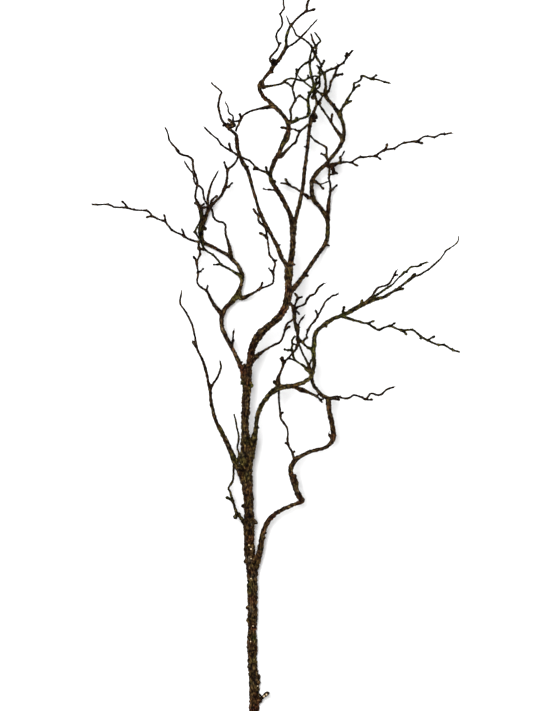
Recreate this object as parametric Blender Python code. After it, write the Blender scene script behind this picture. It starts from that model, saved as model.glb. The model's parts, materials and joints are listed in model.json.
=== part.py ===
"""Curly willow branch: a cut stem with its boughs and curling twigs, grown as one woody piece.

The branch lies on its side on a flat surface at z = 0. Its stem runs along +Y, from the cut end to the
crown, and it rests on three small flats: under the cut end, and under one bough on each side.
"""

import math
import random
from collections import namedtuple

import bmesh
import bpy
import numpy as np
from mathutils import Vector

# Driving dimensions, in metres. VIEW_LENGTH is how much of the surface the photographed branch spans,
# and VIEW_DISTANCE is how far above the surface it was looked at from.
VIEW_LENGTH = 1.236
VIEW_DISTANCE = 4.0
CURL_HEIGHT = 0.005
CURL_LENGTH = 0.075
BOUGH_TOLERANCE = 0.0008
TWIG_TOLERANCE = 0.0012
BOUGH_RADIUS = 0.0028
LEAST_RADIUS = 0.0009

# The bright background eats into thin twigs in the photograph. FULLER is given back to wood up to
# THIN_RADIUS, and less of it up to THICK_RADIUS.
FULLER = 0.0005
THIN_RADIUS = 0.0012
THICK_RADIUS = 0.0034

# The photograph that the routes were read from, in its pixels
PHOTO_LENGTH = 727
PHOTO_MIDDLE = (266.5, 355.5)
ORIGIN_PIXEL = (274.44, 365.36)
PIXEL = VIEW_LENGTH / PHOTO_LENGTH
CURLING_RADIUS = 2.5 * PIXEL

# How many sides wood has, up to a mean radius in metres
SIDES = ((1.35 * PIXEL, 4), (1.7 * PIXEL, 5), (2.3 * PIXEL, 6), (3.0 * PIXEL, 7), (math.inf, 10))
SPUR_SIDES = 3

# How far a ring is turned, in sides: one side level at the bottom, or a corner near the bottom
LEVEL_SIDE = 0.5
CORNER_DOWN = (-0.12, 0.12)

# A spur is no shorter than LEAST_SPUR. Its radius is larger at the root than at the tip, and it rises by a
# share of its length between these two.
LEAST_SPUR = 0.0075
SPUR_ROOT = 1.2
SPUR_TIP = 0.9
SPUR_RISE = (-0.3, 0.8)

# The same for a knob, as shares of the radius of the wood that bears it, which is no thinner than KNOB_BEARING
KNOB_BEARING = 0.003
KNOB_ROOT = 0.5
KNOB_TIP = 0.3
KNOB_RISE = (-0.4, 0.6)

CURVE_STEPS = 3
SEED = 11

# A shoot grows from its parent, where its first point lies on the parent's middle line. A point is
# (across, down, radius) in photograph pixels. A fourth value is its height above the surface in mm, and
# the heights between run smoothly. A spur is (root across, root down, tip across, tip down, radius), and
# a knob is a point on the bark's outline.
Shoot = namedtuple("Shoot", "name parent points spurs knobs", defaults=((), ()))

STEM = Shoot("stem", None, (
    (254, 719, 4.7, 7.2), (254, 711, 4.7, 7.2), (254.5, 700, 5, 7.4), (254.3, 690, 4.8, 7.5),
    (254.3, 680, 5, 7.8), (253, 670, 4.4), (252.6, 660, 4.3, 10), (252, 650, 4.9), (252, 640, 4.8),
    (252, 630, 4), (252.3, 620, 4.7, 13), (252.6, 610, 4.6), (252.5, 600, 4.6), (252.6, 590, 5),
    (252.3, 580, 5, 18), (252, 570, 5.2), (250.3, 560, 5), (249.5, 550, 5.2, 24), (249.2, 540, 4.9),
    (249.1, 530, 5, 29), (249, 520, 4.7), (248.7, 510, 4.5), (248.7, 500, 4.7, 36), (247.6, 490, 5),
    (246.6, 480, 5.5), (246.3, 470, 5.8, 44), (245.6, 460, 5.8), (245.5, 450, 4.8), (245.8, 440, 4.8, 52),
    (245, 430, 3.6), (245, 420, 3.6), (245.6, 410, 3.9, 58), (246, 400, 4), (246.8, 390, 4),
    (247, 383, 4.6, 62), (247.9, 377, 4), (248.4, 370, 3.5), (249.4, 363, 3, 66), (250.7, 355.5, 3.4),
    (252.6, 347.5, 3.5, 70), (255.6, 340.5, 3.8), (259.6, 334.6, 4, 76), (264.6, 329.3, 3.3),
    (269.5, 325.3, 3.1),
    (274.5, 321.2, 3.2, 84), (279.4, 316.5, 3.4), (283, 311, 3.4), (286, 305, 3.6, 92), (287.7, 298, 3.7),
    (288.4, 291, 3.4, 93), (288.6, 285, 3.4), (288.3, 280, 3.8), (288.7, 275, 4.1, 89), (289, 269, 3.9),
    (290.5, 263, 3), (291.7, 255, 2.8, 86), (292.5, 248, 2.7), (292.9, 240, 2.7, 90), (293, 233, 3.1),
    (293.5, 227, 3.2), (294, 221, 2.6, 96),
), spurs=(
    (251, 517, 256.6, 523.2, 1.5), (247.5, 369, 243.5, 365.5, 1.4), (255, 703, 261, 699, 1.8),
    (260, 699.3, 268.5, 693, 1.5),
), knobs=(
    (246, 608), (246.5, 619.5), (247.5, 661), (247.5, 666), (249, 683.5), (244, 550), (244, 562),
    (243, 494), (241.2, 505.5), (240.4, 383), (240.8, 412.3), (250.3, 413.5), (249.9, 400), (248, 349),
    (257.8, 609), (257.3, 641.5), (257.6, 650), (260, 676.5),
    (260, 682), (259.8, 694), (258, 574), (253.2, 385.8), (296, 243), (294.8, 255), (295.2, 265), (258, 330),
))

RIGHT_SIDE = (
    Shoot("low_right_bough", "stem", (
        (252, 578, 3.2), (255.5, 567, 3.1), (257.5, 561, 3, 23), (259, 555, 3), (261, 545, 2.8),
        (262.5, 535, 2.6, 31), (265, 527.3, 2.4), (268.5, 520.5, 2.6), (273.5, 515.2, 2.3, 38),
        (279.3, 511.2, 2), (285.2, 508, 2), (291, 505.6, 2, 44), (297, 503.5, 1.9), (301.3, 501, 2.4, 48),
        (299.2, 496.5, 2.7), (296.4, 490, 2.3), (292.8, 480, 2.2, 54), (290.2, 471, 2), (292, 464.2, 2.6, 57),
        (296.2, 459, 2.5), (302.3, 455.5, 2, 53), (309, 452, 2), (316, 450, 1.9), (323, 448.5, 1.8, 48),
        (328.6, 445, 2), (332.5, 440.5, 2.4, 49), (333.7, 435, 2.4), (332.7, 427.5, 2.3, 54),
        (331, 418, 2.2), (329, 410, 2.3, 60), (328.6, 403, 2.7), (327.5, 398.5, 2.2, 65),
        (321.8, 395.2, 2), (316.9, 389.6, 1.7), (313.2, 384.3, 1.6, 72), (311.8, 378, 1.7),
        (310.3, 372, 1.8, 77),
        (309, 367, 1.6), (307.8, 363.3, 1.1), (305.5, 359, .8, 83), (303, 354, .8), (301, 349.5, .7),
        (299.3, 344.5, .6, 88),
    ), spurs=(
        (297, 490, 295.8, 481, 1.4), (295.7, 483, 294.4, 474.6, 1.6), (332, 440, 328.8, 434.5, .9),
        (310.3, 368, 311.8, 359.5, .6),
    ), knobs=((269.5, 516.5), (266.8, 533), (265.5, 538), (329.7, 431), (303.5, 499))),
    Shoot("low_right_inner", "low_right_bough", (
        (294, 458.5, 1.2), (291.5, 451, 1), (289, 447, .9), (287.5, 440, .9, 66), (288, 435, .8),
        (287.5, 430, .8), (286, 426, .8), (283.5, 422.5, .9, 74), (281, 419, .9), (280.2, 413, .8),
        (279.5, 406, .8), (279, 399, .8), (279, 391, .7, 80),
    ), spurs=((281, 416, 283.3, 412.5, .7), (288, 445, 285, 442.8, .7), (293, 455, 294.8, 451.7, .7))),
    Shoot("low_right_outer", "low_right_bough", (
        (328, 399.5, 1.6), (331.5, 398, 1.2), (337, 396.5, 1), (341, 397.5, .9), (346, 398.5, .9, 72),
        (350, 397.5, .9), (353.5, 395, .9), (358, 396, .8), (362, 397.5, 1, 80), (366, 399, .9),
        (370, 394, .9), (373, 393.5, .8), (377, 395, .9, 78), (381, 394.5, .8), (384, 392, .8),
        (387, 389.5, .8), (391, 388, .8), (394, 387, .8, 92),
    ), spurs=((366, 399, 372.4, 399.5, .8), (331, 398.8, 339.5, 399.7, .8)), knobs=((340.5, 395),)),
    Shoot("far_right_bough", "stem", (
        (247, 474, 3.2), (249.5, 464, 2.8), (252.3, 452, 2.8, 50), (253.7, 440, 3.2), (255.7, 430, 2.2, 60),
        (256.8, 420, 2), (258.3, 413, 2.4, 70), (261.4, 405.5, 2.3), (265.9, 399, 2.3, 80),
        (270.8, 393.2, 2.6),
        (276.5, 389, 2.9, 90), (281, 387, 2.8), (288, 386.3, 2.4), (295, 385.4, 2.2, 97), (301.8, 383.2, 2),
        (306.6, 380.6, 1.9), (310.6, 377.6, 1.9, 103), (312.7, 373.5, 2), (313.2, 369, 2.1),
        (314.3, 364, 2, 108),
        (313.8, 357, 2.1), (313.4, 350, 2.2), (314.2, 343, 2.3, 112), (314.6, 336, 2.1), (317, 331, 2),
        (321, 327.3, 1.9), (325, 324, 2.3, 116), (330, 320.5, 2.1), (335, 318, 1.8), (341, 316, 2, 121),
        (347.2, 313, 2), (354.3, 309.2, 2.2, 126), (362.3, 304.6, 2.2), (370.3, 301.3, 1.8, 132),
        (377, 298.8, 1.6), (384, 297, 1.6), (391, 292.8, 1.3, 140), (398, 288.6, 1.1), (404.5, 283.5, 1),
        (410, 279.5, 1, 148), (414.5, 276.5, .9), (420, 274.6, .8), (425, 271.5, .7), (429, 269.2, .8, 155),
        (433, 265.7, .7), (437, 262, .7), (441, 258, .6), (444.3, 253.3, .6, 160), (446, 250.7, .6),
        (450, 248.2, .5), (454, 245.3, .5), (457.3, 242.3, .5, 166), (458.4, 240, .4), (458.7, 236, .4, 170),
    ), spurs=(
        (342, 315.5, 342.5, 311, 1), (342.4, 311.5, 344.2, 306.3, .8), (360, 304.5, 362.5, 300, .9),
        (396, 290.5, 403.5, 288.3, .8), (409, 280, 415.5, 273.6, .8),
    ), knobs=((274, 381.8), (278, 380.5), (259.3, 428.3), (311, 352), (327, 327.5), (346, 309.5))),
    Shoot("cross_spray", "far_right_bough", (
        (293, 386, 2), (297, 388.3, 1.9), (301, 390.5, 1.7), (306, 391.8, 1.3, 91), (312, 394, 1),
        (317, 396.5, .8, 87), (320.5, 400, .7), (322, 402.5, .7, 84),
    ), spurs=((317, 396.5, 319.5, 394, .6), (320, 399.5, 323.5, 398.3, .6))),
    Shoot("lower_right_twig", "far_right_bough", (
        (341, 316, 1.7), (347, 318, 1.4), (352, 319.5, 1.3, 120), (358, 321.3, 1), (364, 323, .9),
        (368, 323.5, .9, 117), (373, 327, .9), (378.5, 330, 1, 116), (384, 327.5, .8), (390, 326, .9),
        (396, 328.5, .8), (401, 330, 1, 124), (407, 330, .8), (412.5, 330, .9), (417, 333, .8),
        (421, 336.5, .9, 129), (426, 339.5, .8), (431, 342, .8), (437, 344.5, .8, 133), (444, 345, .9),
        (449, 348, .7), (453, 350, .8), (459.5, 352, .7, 140),
    ), spurs=(
        (368, 323.5, 374, 321, .7), (390, 326, 395, 323, .7), (401, 330, 406.5, 335, .8),
        (421, 336.3, 420.3, 339, .7), (427, 339.7, 434.5, 336.3, .7),
    ), knobs=((413, 328), (438.5, 346.8), (444.5, 343.2), (453, 347.5), (452.5, 351.8))),
    Shoot("upper_right_twig", "far_right_bough", (
        (365, 302.3, 1.4), (368.5, 299.5, 1.2), (372, 296, 1, 139), (374.3, 292.5, 1), (378, 287.7, .9, 144),
        (384, 286, .8), (389, 283.6, .8, 149), (392, 279, .7), (394.4, 274.8, .8), (396.3, 270.8, .7, 158),
    ), spurs=((394.2, 275.2, 397.8, 274.8, .6),)),
    Shoot("green_right_twig", "far_right_bough", (
        (370, 300.2, 1.6), (374, 297, 1.3), (378.4, 294.8, 1.1, 130), (383.5, 291.3, 1), (388.5, 288, .9),
        (392.8, 284.6, .8, 135), (397.5, 279, .8), (402.3, 274.3, .9, 142), (404.3, 272.3, 1.1),
        (406.4, 271.6, 1.1), (408.5, 269.3, .8), (411, 267, .8, 148), (415, 266.5, .7), (418, 266.3, .7),
        (420.7, 264.7, .9), (424, 263.3, .7), (427.4, 262, .7, 156),
    ), knobs=((404, 270.8), (407.5, 273), (420, 263), (421.5, 266.5))),
    Shoot("inner_link", "far_right_bough", (
        (314, 350.5, 1.9), (311, 348.6, 1.5), (308, 347.6, 1.2), (305.5, 345.8, .8, 107), (302.8, 342.8, .9),
        (300, 339.8, .9, 103), (298, 336, .9), (296.5, 331, 1), (295.2, 326, .9, 99), (294.2, 321, .8),
        (293.8, 315, .7, 96),
    ), spurs=((301, 341, 298.3, 344, .8),)),
    Shoot("inner_right_twig", "inner_link", (
        (302.5, 342.5, 1.1), (304.8, 339.2, 1), (306.8, 337.8, .9, 111), (306.5, 335.5, .7), (307, 333, .7),
        (308.2, 330, .9, 117), (310, 326.5, .7), (312.5, 323.3, .7), (314.5, 321, .9, 122),
        (317.5, 316.5, .8), (319.5, 313, .7), (321.5, 309, .7, 126), (323.5, 305.5, .7), (325.5, 301.5, .8),
        (328.5, 299, .7), (332.5, 295.8, .8, 131), (335.5, 295, .6), (338.5, 293.5, .6, 134),
    ), spurs=((317.3, 316.3, 315.2, 310.3, .7),), knobs=((308.2, 338.5), (306.3, 329.6), (315.8, 321.5))),
    Shoot("inner_left_twig", "far_right_bough", (
        (277, 384, 2.1), (278, 379.5, 1.5), (279.5, 375, 1), (281.5, 370, .9, 97), (283, 366, 1.1),
        (283.8, 362.5, 1.4, 101), (286, 360.3, .9), (288.5, 358, .8), (291, 355, .8, 107),
        (293.5, 352, .9), (295.7, 349.3, 1.1, 111), (297, 346.3, 1.2), (298, 343, 1.4, 115),
        (297.4, 338, 1.3), (298, 333, 1.3, 120), (298.4, 328, 1.1), (297, 325, .8), (295.3, 321.7, .8, 117),
        (294.4, 318.5, .7, 114),
    ), spurs=(
        (283.6, 362.6, 281.7, 357.6, 1.5), (281, 358, 283, 357.2, .9), (300, 326.5, 303.8, 316.7, .6),
        (289, 358, 294.5, 360.3, .5), (296.8, 344.6, 293, 343.8, .6),
    ), knobs=((300.3, 327.3), (296, 339.5))),
    Shoot("green_inner_twig", "low_right_bough", (
        (310.3, 372, 1.8), (307, 369.5, 1.7), (304.5, 366.6, 1.3), (301.5, 364.5, .9, 82), (298, 362.5, .8),
        (295, 360, .8, 87), (293.5, 357, 1), (292.8, 353.5, 1.1, 92), (292, 350, .9), (291.8, 347.5, .8),
        (292.4, 345, .8), (291.8, 342, .9, 99), (292.4, 339.8, .8), (293.8, 337.5, .8),
        (295.5, 336, .8, 104),
    ), spurs=(
        (291.5, 350.3, 287.5, 350.2, .9), (288, 350.2, 284.3, 349.4, .7), (295, 360.3, 289, 358.7, .5),
    )),
    Shoot("stem_right_twig", "stem", (
        (249.5, 365, 2.8), (253.3, 359.5, 2.8), (256.8, 356, 2.6), (260.3, 353.3, 1.8, 76),
        (264.2, 350.6, 1.2),
        (270, 347, .9, 83), (275, 344.6, 1), (279.5, 342.5, .8, 88), (281.8, 339.5, .8),
        (283.3, 336, .8, 94), (284.3, 332, .8), (285.3, 329, 1, 99), (286, 326, .8), (288, 323, .9),
        (290.5, 321.5, .8), (293, 319.3, .7, 105),
    ), spurs=((285.8, 330.2, 289.7, 326.2, .7),), knobs=((275.5, 343.2),)),
    Shoot("hanging_twig", "stem", (
        (287.5, 301, 2), (291, 304.6, 1.4), (293.2, 307, 1.3), (294.1, 310, 1.6, 90), (294.3, 314, 1.8),
        (294.2, 317.5, 1.6), (294.6, 321, 1.1, 86), (295.3, 325.5, .7), (296, 329.5, .6, 82),
    ), spurs=((295, 309, 299.3, 314.2, .7), (294, 308.5, 297.2, 308, .9))),
    Shoot("small_crest", "hanging_twig", (
        (294, 308.5, 1.2), (295.6, 303.5, .9), (296.8, 300, 1, 97), (298, 298, 1), (296, 295, .9, 100),
        (294.5, 293, .7, 101),
    ), spurs=((297.8, 298.2, 302, 297, .6),)),
    Shoot("crest_right", "hanging_twig", (
        (294.2, 309.5, 1), (297, 307.3, .8), (300, 306.2, .7, 96), (303.2, 305, .7), (305.6, 303.2, .8),
        (306.7, 300, .9, 102), (309, 296.7, 1), (312, 295, .9), (315.2, 293.3, .9, 106), (318, 288.3, .9),
        (321, 285.5, .8), (324.5, 283, .7, 112),
    )),
)

LEFT_SIDE = (
    Shoot("low_left_twig", "stem", (
        (246.5, 486, 3.2), (243, 479.5, 3), (239, 470, 2.8), (234.6, 460.3, 3, 56), (229.4, 448.4, 2.4),
        (225.4, 439.4, 2.4, 68), (221.3, 431.3, 2.4), (217.9, 425.3, 1.9), (214.6, 417.2, 1.8, 80),
        (213, 410, 1.7),
        (211, 402, 1.6), (210.3, 392, 1.5, 94), (209.8, 388, 1.7), (208.5, 383, 1.6), (207.3, 377, 1.3),
        (206, 371, 1.3, 106), (204.5, 366, 1.3), (203, 361, 1.3), (200, 355, 1, 114), (197, 349, 1.1),
        (196, 343, 1), (195, 337, .9, 122), (193, 328, .9), (191.5, 323, .9), (189.5, 319, .8),
        (187, 314, .8, 132), (184, 309.5, .8), (180.7, 304.5, .7), (180, 300.5, .7), (181, 295, .6),
        (181.6, 290, .5, 142),
    ), spurs=((197, 346.8, 193, 341.3, .9), (228, 443, 224.5, 441.5, 1.2)),
        knobs=((206.8, 368), (201, 360.5))),
    Shoot("low_left_fork", "low_left_twig", (
        (209.9, 389, 1.5), (213, 384, 1.1), (217, 378, .9, 102), (220, 371, .8), (221, 366, .8),
        (220, 361, .6, 110),
    )),
    Shoot("lowest_left_twig", "stem", (
        (247, 532, 2.4), (243.5, 522.5, 2), (240, 517, 1.7, 31), (237, 513, 1.5), (235, 508, 1.3),
        (233.5, 503, 1.2, 31), (231.5, 497, 1.1), (230, 492, 1.1), (228.6, 488, 1), (231, 484, 1, 34),
        (233, 480, .9), (233.6, 474, .9), (233.6, 468, .9), (234.5, 463, .9, 38), (238, 459, 1.7),
        (239, 454, .8), (237.3, 447.5, .8), (238.2, 443, .8, 43), (238.8, 438, .8), (238.2, 433, .7),
        (237, 428, .7), (235.8, 421, .7), (234, 414, .6, 56),
    ), spurs=((232.3, 501, 226, 497.5, 1), (238, 514, 234.8, 518.5, 1.4)), knobs=((242, 518.5),)),
    Shoot("left_bough", "stem", (
        (247, 385, 3.8), (244, 378, 3.2), (242.4, 371, 2.6, 57), (240, 365, 2.4), (237.5, 359, 2.1),
        (234.1, 352.2, 1.8, 48), (230.9, 346.3, 1.9), (228.3, 341.3, 1.9), (225.4, 334.8, 2, 40),
        (222.6, 329.2, 2),
        (221.5, 323, 1.9), (221.5, 317, 2, 30), (223.3, 311, 2.3), (226.3, 306.5, 2.3), (230, 302.5, 2.3, 23),
        (234.5, 298.5, 2.8), (238, 294, 2.8, 21), (239.6, 289.5, 2.1), (241, 285, 2), (242, 280, 1.9, 24),
        (242.2, 275, 2.2), (240.4, 270.3, 1.9), (238, 265.5, 1.8, 24), (233.7, 261, 1.8), (230, 257, 1.8, 19),
        (225.2, 253.5, 1.6), (220.3, 250.9, 1.7, 13), (214.3, 247.7, 1.7), (208.3, 244.8, 1.8, 6.5),
        (204, 243, 2), (201.7, 239.5, 2.4, 3.4), (201, 235, 2.4, 3.3), (201.2, 229, 2.5, 3.4),
        (202.6, 223.5, 2.3, 7),
    ), spurs=((232.3, 347, 233.7, 339.5, .9), (233.6, 340, 234, 330, .6)),
        knobs=((226.3, 331), (223.6, 336.5), (242.8, 362), (237.3, 268.5))),
    Shoot("long_left_twig", "left_bough", (
        (222, 314, 2), (218, 309.5, 1.9), (215, 306, 1.8), (212, 301, 1.4, 36), (209, 295, 1.1),
        (207, 291.3, 1, 41), (203, 288.8, .9), (199.5, 286, .9), (197.5, 283, .8), (197.3, 279, .8, 47),
        (198, 274.5, .9), (197.5, 269, .8), (197, 265, .9), (197, 262, .9, 45), (198.5, 258, .9),
        (200, 254.3, .9), (199.8, 251, 1), (198.6, 248, 1.1, 38), (198.8, 244.5, 1.1),
        (198.5, 241.8, 1.2), (194, 241, 1, 38), (190, 239.5, .9), (187, 238.3, .8), (184.5, 236.5, .9),
        (180, 234, .8, 48), (176, 232.3, .8), (172, 230, .8), (169, 226.5, .8), (167, 224, .8),
        (165.3, 221.8, .9, 62), (162, 220.5, .8), (158, 219, .8), (155, 217.5, .9), (152.3, 216, .8, 70),
        (150, 213, .8), (147.5, 210.9, .9), (144, 210.5, .7), (139, 210.2, .7, 77), (134, 209.6, .9),
        (131, 209, .7), (127.3, 207.8, .8), (123, 207.5, .7), (118, 207.3, .7, 83), (114, 207.2, .7),
        (112, 205.8, .7), (108.5, 204.6, .8), (104.5, 204.4, .7), (100, 204.6, .7, 90), (96, 204.6, .7),
        (92, 204.4, .6, 96),
    ), spurs=(
        (207.3, 291.5, 208, 285.3, .7), (198, 273.5, 201, 271.5, .7), (200.8, 271.7, 203.6, 268.8, .6),
        (197, 263, 193, 256.5, .8), (184.3, 236, 181.3, 228.8, .7), (165.2, 221.5, 163.7, 214.7, .7),
        (153, 217, 146.3, 217.5, .7), (127, 207.7, 121.8, 201.3, .7), (199, 248.3, 204.5, 250, .8),
    ), knobs=((170.3, 231.2), (146.5, 209), (134, 208.2), (108.3, 202.8), (97.7, 206.2), (201.7, 254))),
    Shoot("curled_left_twig", "left_bough", (
        (238, 295, 2.6), (241, 298, 2.4), (244, 297.8, 1.9), (248, 295.5, 1.3, 29), (254, 292.5, .9),
        (259, 289.5, 1, 42), (265, 287, .8), (270, 285, .8), (272.8, 283, .8, 56), (273.7, 279, .8),
        (273.3, 274, .9, 70), (274, 269, .8), (275, 264, .8), (273.6, 260, .9, 84), (271, 257, .8),
        (269.2, 253.5, .8), (268.5, 247, .8, 96), (267.8, 241, .8), (266.6, 236, .9, 104), (266.3, 231, .8),
        (264, 226, .8), (260, 223, .8, 111), (258.3, 220.5, .8), (258.4, 216, .7), (256, 212.5, .7),
        (253, 208.5, .6, 116),
    ), spurs=(
        (259.5, 289.2, 262.5, 282.3, .7), (273.3, 274.3, 270.3, 269.8, .7), (270.6, 270.2, 268.5, 268, .5),
        (273.8, 260.3, 276.7, 260.6, .7), (266.7, 237, 259.5, 233.4, .7),
    ), knobs=((268.4, 255.6),)),
    Shoot("green_left_twig", "left_bough", (
        (242.5, 277.5, 1.9), (238.5, 274.6, 1.7), (235, 272.5, 1.4), (231, 270, 1.1, 36), (226, 267.3, .9),
        (221.5, 264.8, .9, 46), (219, 261.5, .8), (216, 258, .8), (213, 255, .8, 52), (209, 252.5, .8),
        (205.5, 250, .9), (203, 246.5, .9, 56), (201, 241, .9), (198, 237, .8), (196, 233.5, .8, 60),
        (195.7, 230, .8), (197.5, 226, .8), (199.5, 222.5, .7, 67), (201, 217, .7), (201, 209.5, .6, 78),
    ), spurs=((221.5, 264.7, 217, 264.5, .7), (217.3, 264.5, 213.5, 264.5, .5), (196, 233, 193.7, 231.6, .6)),
        knobs=((213.8, 253.4),)),
    Shoot("left_top_twig", "left_bough", (
        (202, 226, 2.2), (202.3, 220, 2.1), (201.2, 214, 2.1, 18), (200.4, 209, 2.1), (199, 205.3, 1.7),
        (197.5, 202, 1.2, 32), (195.8, 199, 1), (195.3, 196, 1), (196, 191, 1, 44), (197, 186.5, 1),
        (197.3, 182, 1), (196.3, 177.5, 1, 58), (194.8, 173, 1), (193.2, 169, 1), (193, 165, 1, 68),
        (192.9, 161, 1), (191.3, 158.3, 1), (188, 156.3, .9, 78), (184, 155.2, .9), (180.3, 153.8, 1),
        (177.8, 151, 1.4, 88), (175, 147, .9), (172, 144, .8), (169.5, 140.5, .7, 96), (168.3, 136, .7),
        (167.3, 132, .6), (165.2, 127.5, .6, 105),
    ), spurs=((198.8, 206.8, 194.3, 202.8, .9), (202, 207, 204.3, 203.7, .8), (203, 221, 205.5, 217, .9))),
    Shoot("left_fan_twig", "left_bough", (
        (202.4, 227, 2), (204.5, 221, 1.8), (206, 216, 1.6, 16), (207.5, 211.5, 1.8), (209, 208, 1.8),
        (212, 205, 1.5, 28), (215, 202, 1.4), (218.5, 198.5, 1.3, 38), (221.5, 195, 1.3), (223.5, 191, 1.5),
        (225, 187, 1.5, 52), (226.5, 182, 1.2), (227.2, 177, 1.1), (227.4, 172, 1, 72), (228.5, 169, 1),
        (231.5, 166.5, .9), (234.5, 163.5, .9, 86), (236.8, 160, .8), (238.3, 156, .7, 95),
    ), spurs=(
        (227.4, 170.5, 225.5, 166, .8), (225.6, 166.4, 224.2, 161.5, .6), (225, 188, 229.5, 186.4, .9),
        (229.2, 186.5, 232.7, 183, .7), (209.3, 207.5, 211.5, 200.3, 1), (211, 201, 217.5, 196, .8),
        (209, 206.5, 202.8, 207.8, .9),
    )),
    Shoot("left_fan_fork", "left_fan_twig", (
        (208.7, 208.5, 1.3), (207.8, 203, 1.1), (207.7, 198.5, 1.1, 36), (208.7, 194, 1), (210, 188.5, .9),
        (211.5, 184, .9, 50), (214, 178.5, .8), (216.5, 174, .7), (218.2, 171, .5, 60),
    )),
    Shoot("left_inner_twig", "left_bough", (
        (231.5, 258.4, 2.1), (230.5, 253, 2), (229, 247, 1.7, 29), (227.5, 241, 1.2), (225.9, 235, 1, 38),
        (225.5, 230, .9), (225.6, 226, .9), (223.8, 223, .9), (221.5, 222, .9, 46), (218.5, 221.6, .9),
        (215.5, 219.5, .9), (213.3, 216.5, .9, 52), (212.7, 212.5, .9), (211.5, 209, .8),
        (209.5, 206, .9, 60), (206, 202.5, .8), (204.2, 199, .8), (203.3, 194, .8, 72), (202.8, 190, .8),
        (201, 187.5, .8), (198, 185.5, .9, 82), (195.5, 183.5, .8), (194, 180, .7), (193.8, 176, .7, 92),
        (192.5, 172.5, .7), (189.5, 169.5, .6), (187, 166, .6), (184.5, 161.5, .5, 104),
    )),
    Shoot("inner_left_bough", "stem", (
        (288.8, 270, 3.2), (286, 264, 2.4), (283, 260, 2.1), (281, 254.5, 2.1, 98), (279, 248, 2.1),
        (276, 242, 1.7, 104), (273, 236.5, 1.5), (270, 231, 1.9), (267, 226, 1.9, 112), (264, 221, 1.9),
        (261.5, 215.5, 2.1), (259, 210, 1.7, 122), (257, 203, 1.4), (255.3, 197, 1.5), (253.2, 190, 1.5, 134),
        (251.5, 184, 1.4), (250.2, 179.5, 1.5), (248.8, 174, 1.7, 145), (247, 169.5, 1.9), (244.3, 165, 2.1),
        (241.8, 160.5, 2), (239.8, 156, 1.8, 158), (238, 150, 1.8), (237.2, 145, 1.9), (236.6, 140, 2, 170),
        (236.1, 135.5, 1.6), (233.3, 132, 1.2), (230, 129.8, 1.3, 178), (227.5, 127, 1.2),
        (225, 124, 1.2), (222, 120.5, 1.1, 186), (220.5, 116, .9), (219, 110.5, 1), (218.4, 105, .9, 197),
        (219, 100, .8), (220.2, 95.5, .8), (221.3, 92, .9, 205), (218, 88.7, .7), (214.5, 85.8, .6),
        (211, 82.5, .5, 212),
    ), spurs=(
        (225.5, 124.3, 222.9, 125.8, .9), (229.5, 128.6, 228, 123, .8), (229.8, 127.8, 233.4, 126.3, .9),
        (233.2, 126.5, 235.2, 125.2, .8), (235, 125.3, 228.2, 119.4, .9),
    ), knobs=((280.7, 244.5), (249.3, 166), (235.3, 127.5))),
    Shoot("arched_twig", "top_bough", (
        (274.5, 105.5, 1.7), (271, 106.6, 1.9), (267.5, 107.5, 1.9), (264, 107.9, 1.5), (260, 108.6, 1, 152),
        (255, 109.8, .9), (249.5, 111.5, .8, 158), (244.8, 114.2, .8), (242, 117, .9), (240.4, 120, .9, 160),
        (239.2, 123.2, .9), (236.9, 127.6, .9), (235.8, 131.5, .8, 160),
    ), spurs=((241, 118, 239.4, 113.8, .8),)),
    Shoot("arched_fork", "arched_twig", (
        (240.6, 119.6, .9), (238, 121, .8), (235.3, 121.5, .8, 165), (232.9, 121, .8), (233.3, 118.2, .7),
        (232.7, 115.6, .7, 170), (230.3, 114.1, .6), (228.3, 111.7, .6), (228.4, 109, .6, 173),
        (227.4, 105.8, .5), (225.2, 102.5, .5, 176),
    )),
    Shoot("low_arch_twig", "top_bough", (
        (270.3, 174.8, 1.6), (266.5, 172.6, 1.1), (262, 170.9, .9, 131), (257.5, 168.8, 1),
        (254.5, 166.3, .8),
        (252, 163, .8, 138), (249.5, 160.7, .9), (246, 159.2, .8), (243, 158, .8), (239.5, 156.5, .9, 142),
        (235.5, 153.8, .9), (231, 150.8, 1), (226, 148, .8, 147), (221, 144.3, .8), (217.5, 139, .8, 151),
        (212.5, 135.3, .7), (209.3, 132.3, .7, 155), (204.5, 127.5, .6, 160),
    ), spurs=(
        (257.5, 168.8, 253.6, 168.7, .9), (231, 151, 229, 143, .8), (268, 173.3, 266, 166.4, .9),
    ), knobs=((219.5, 144.8), (211, 132.8), (250, 159.6))),
)

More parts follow.
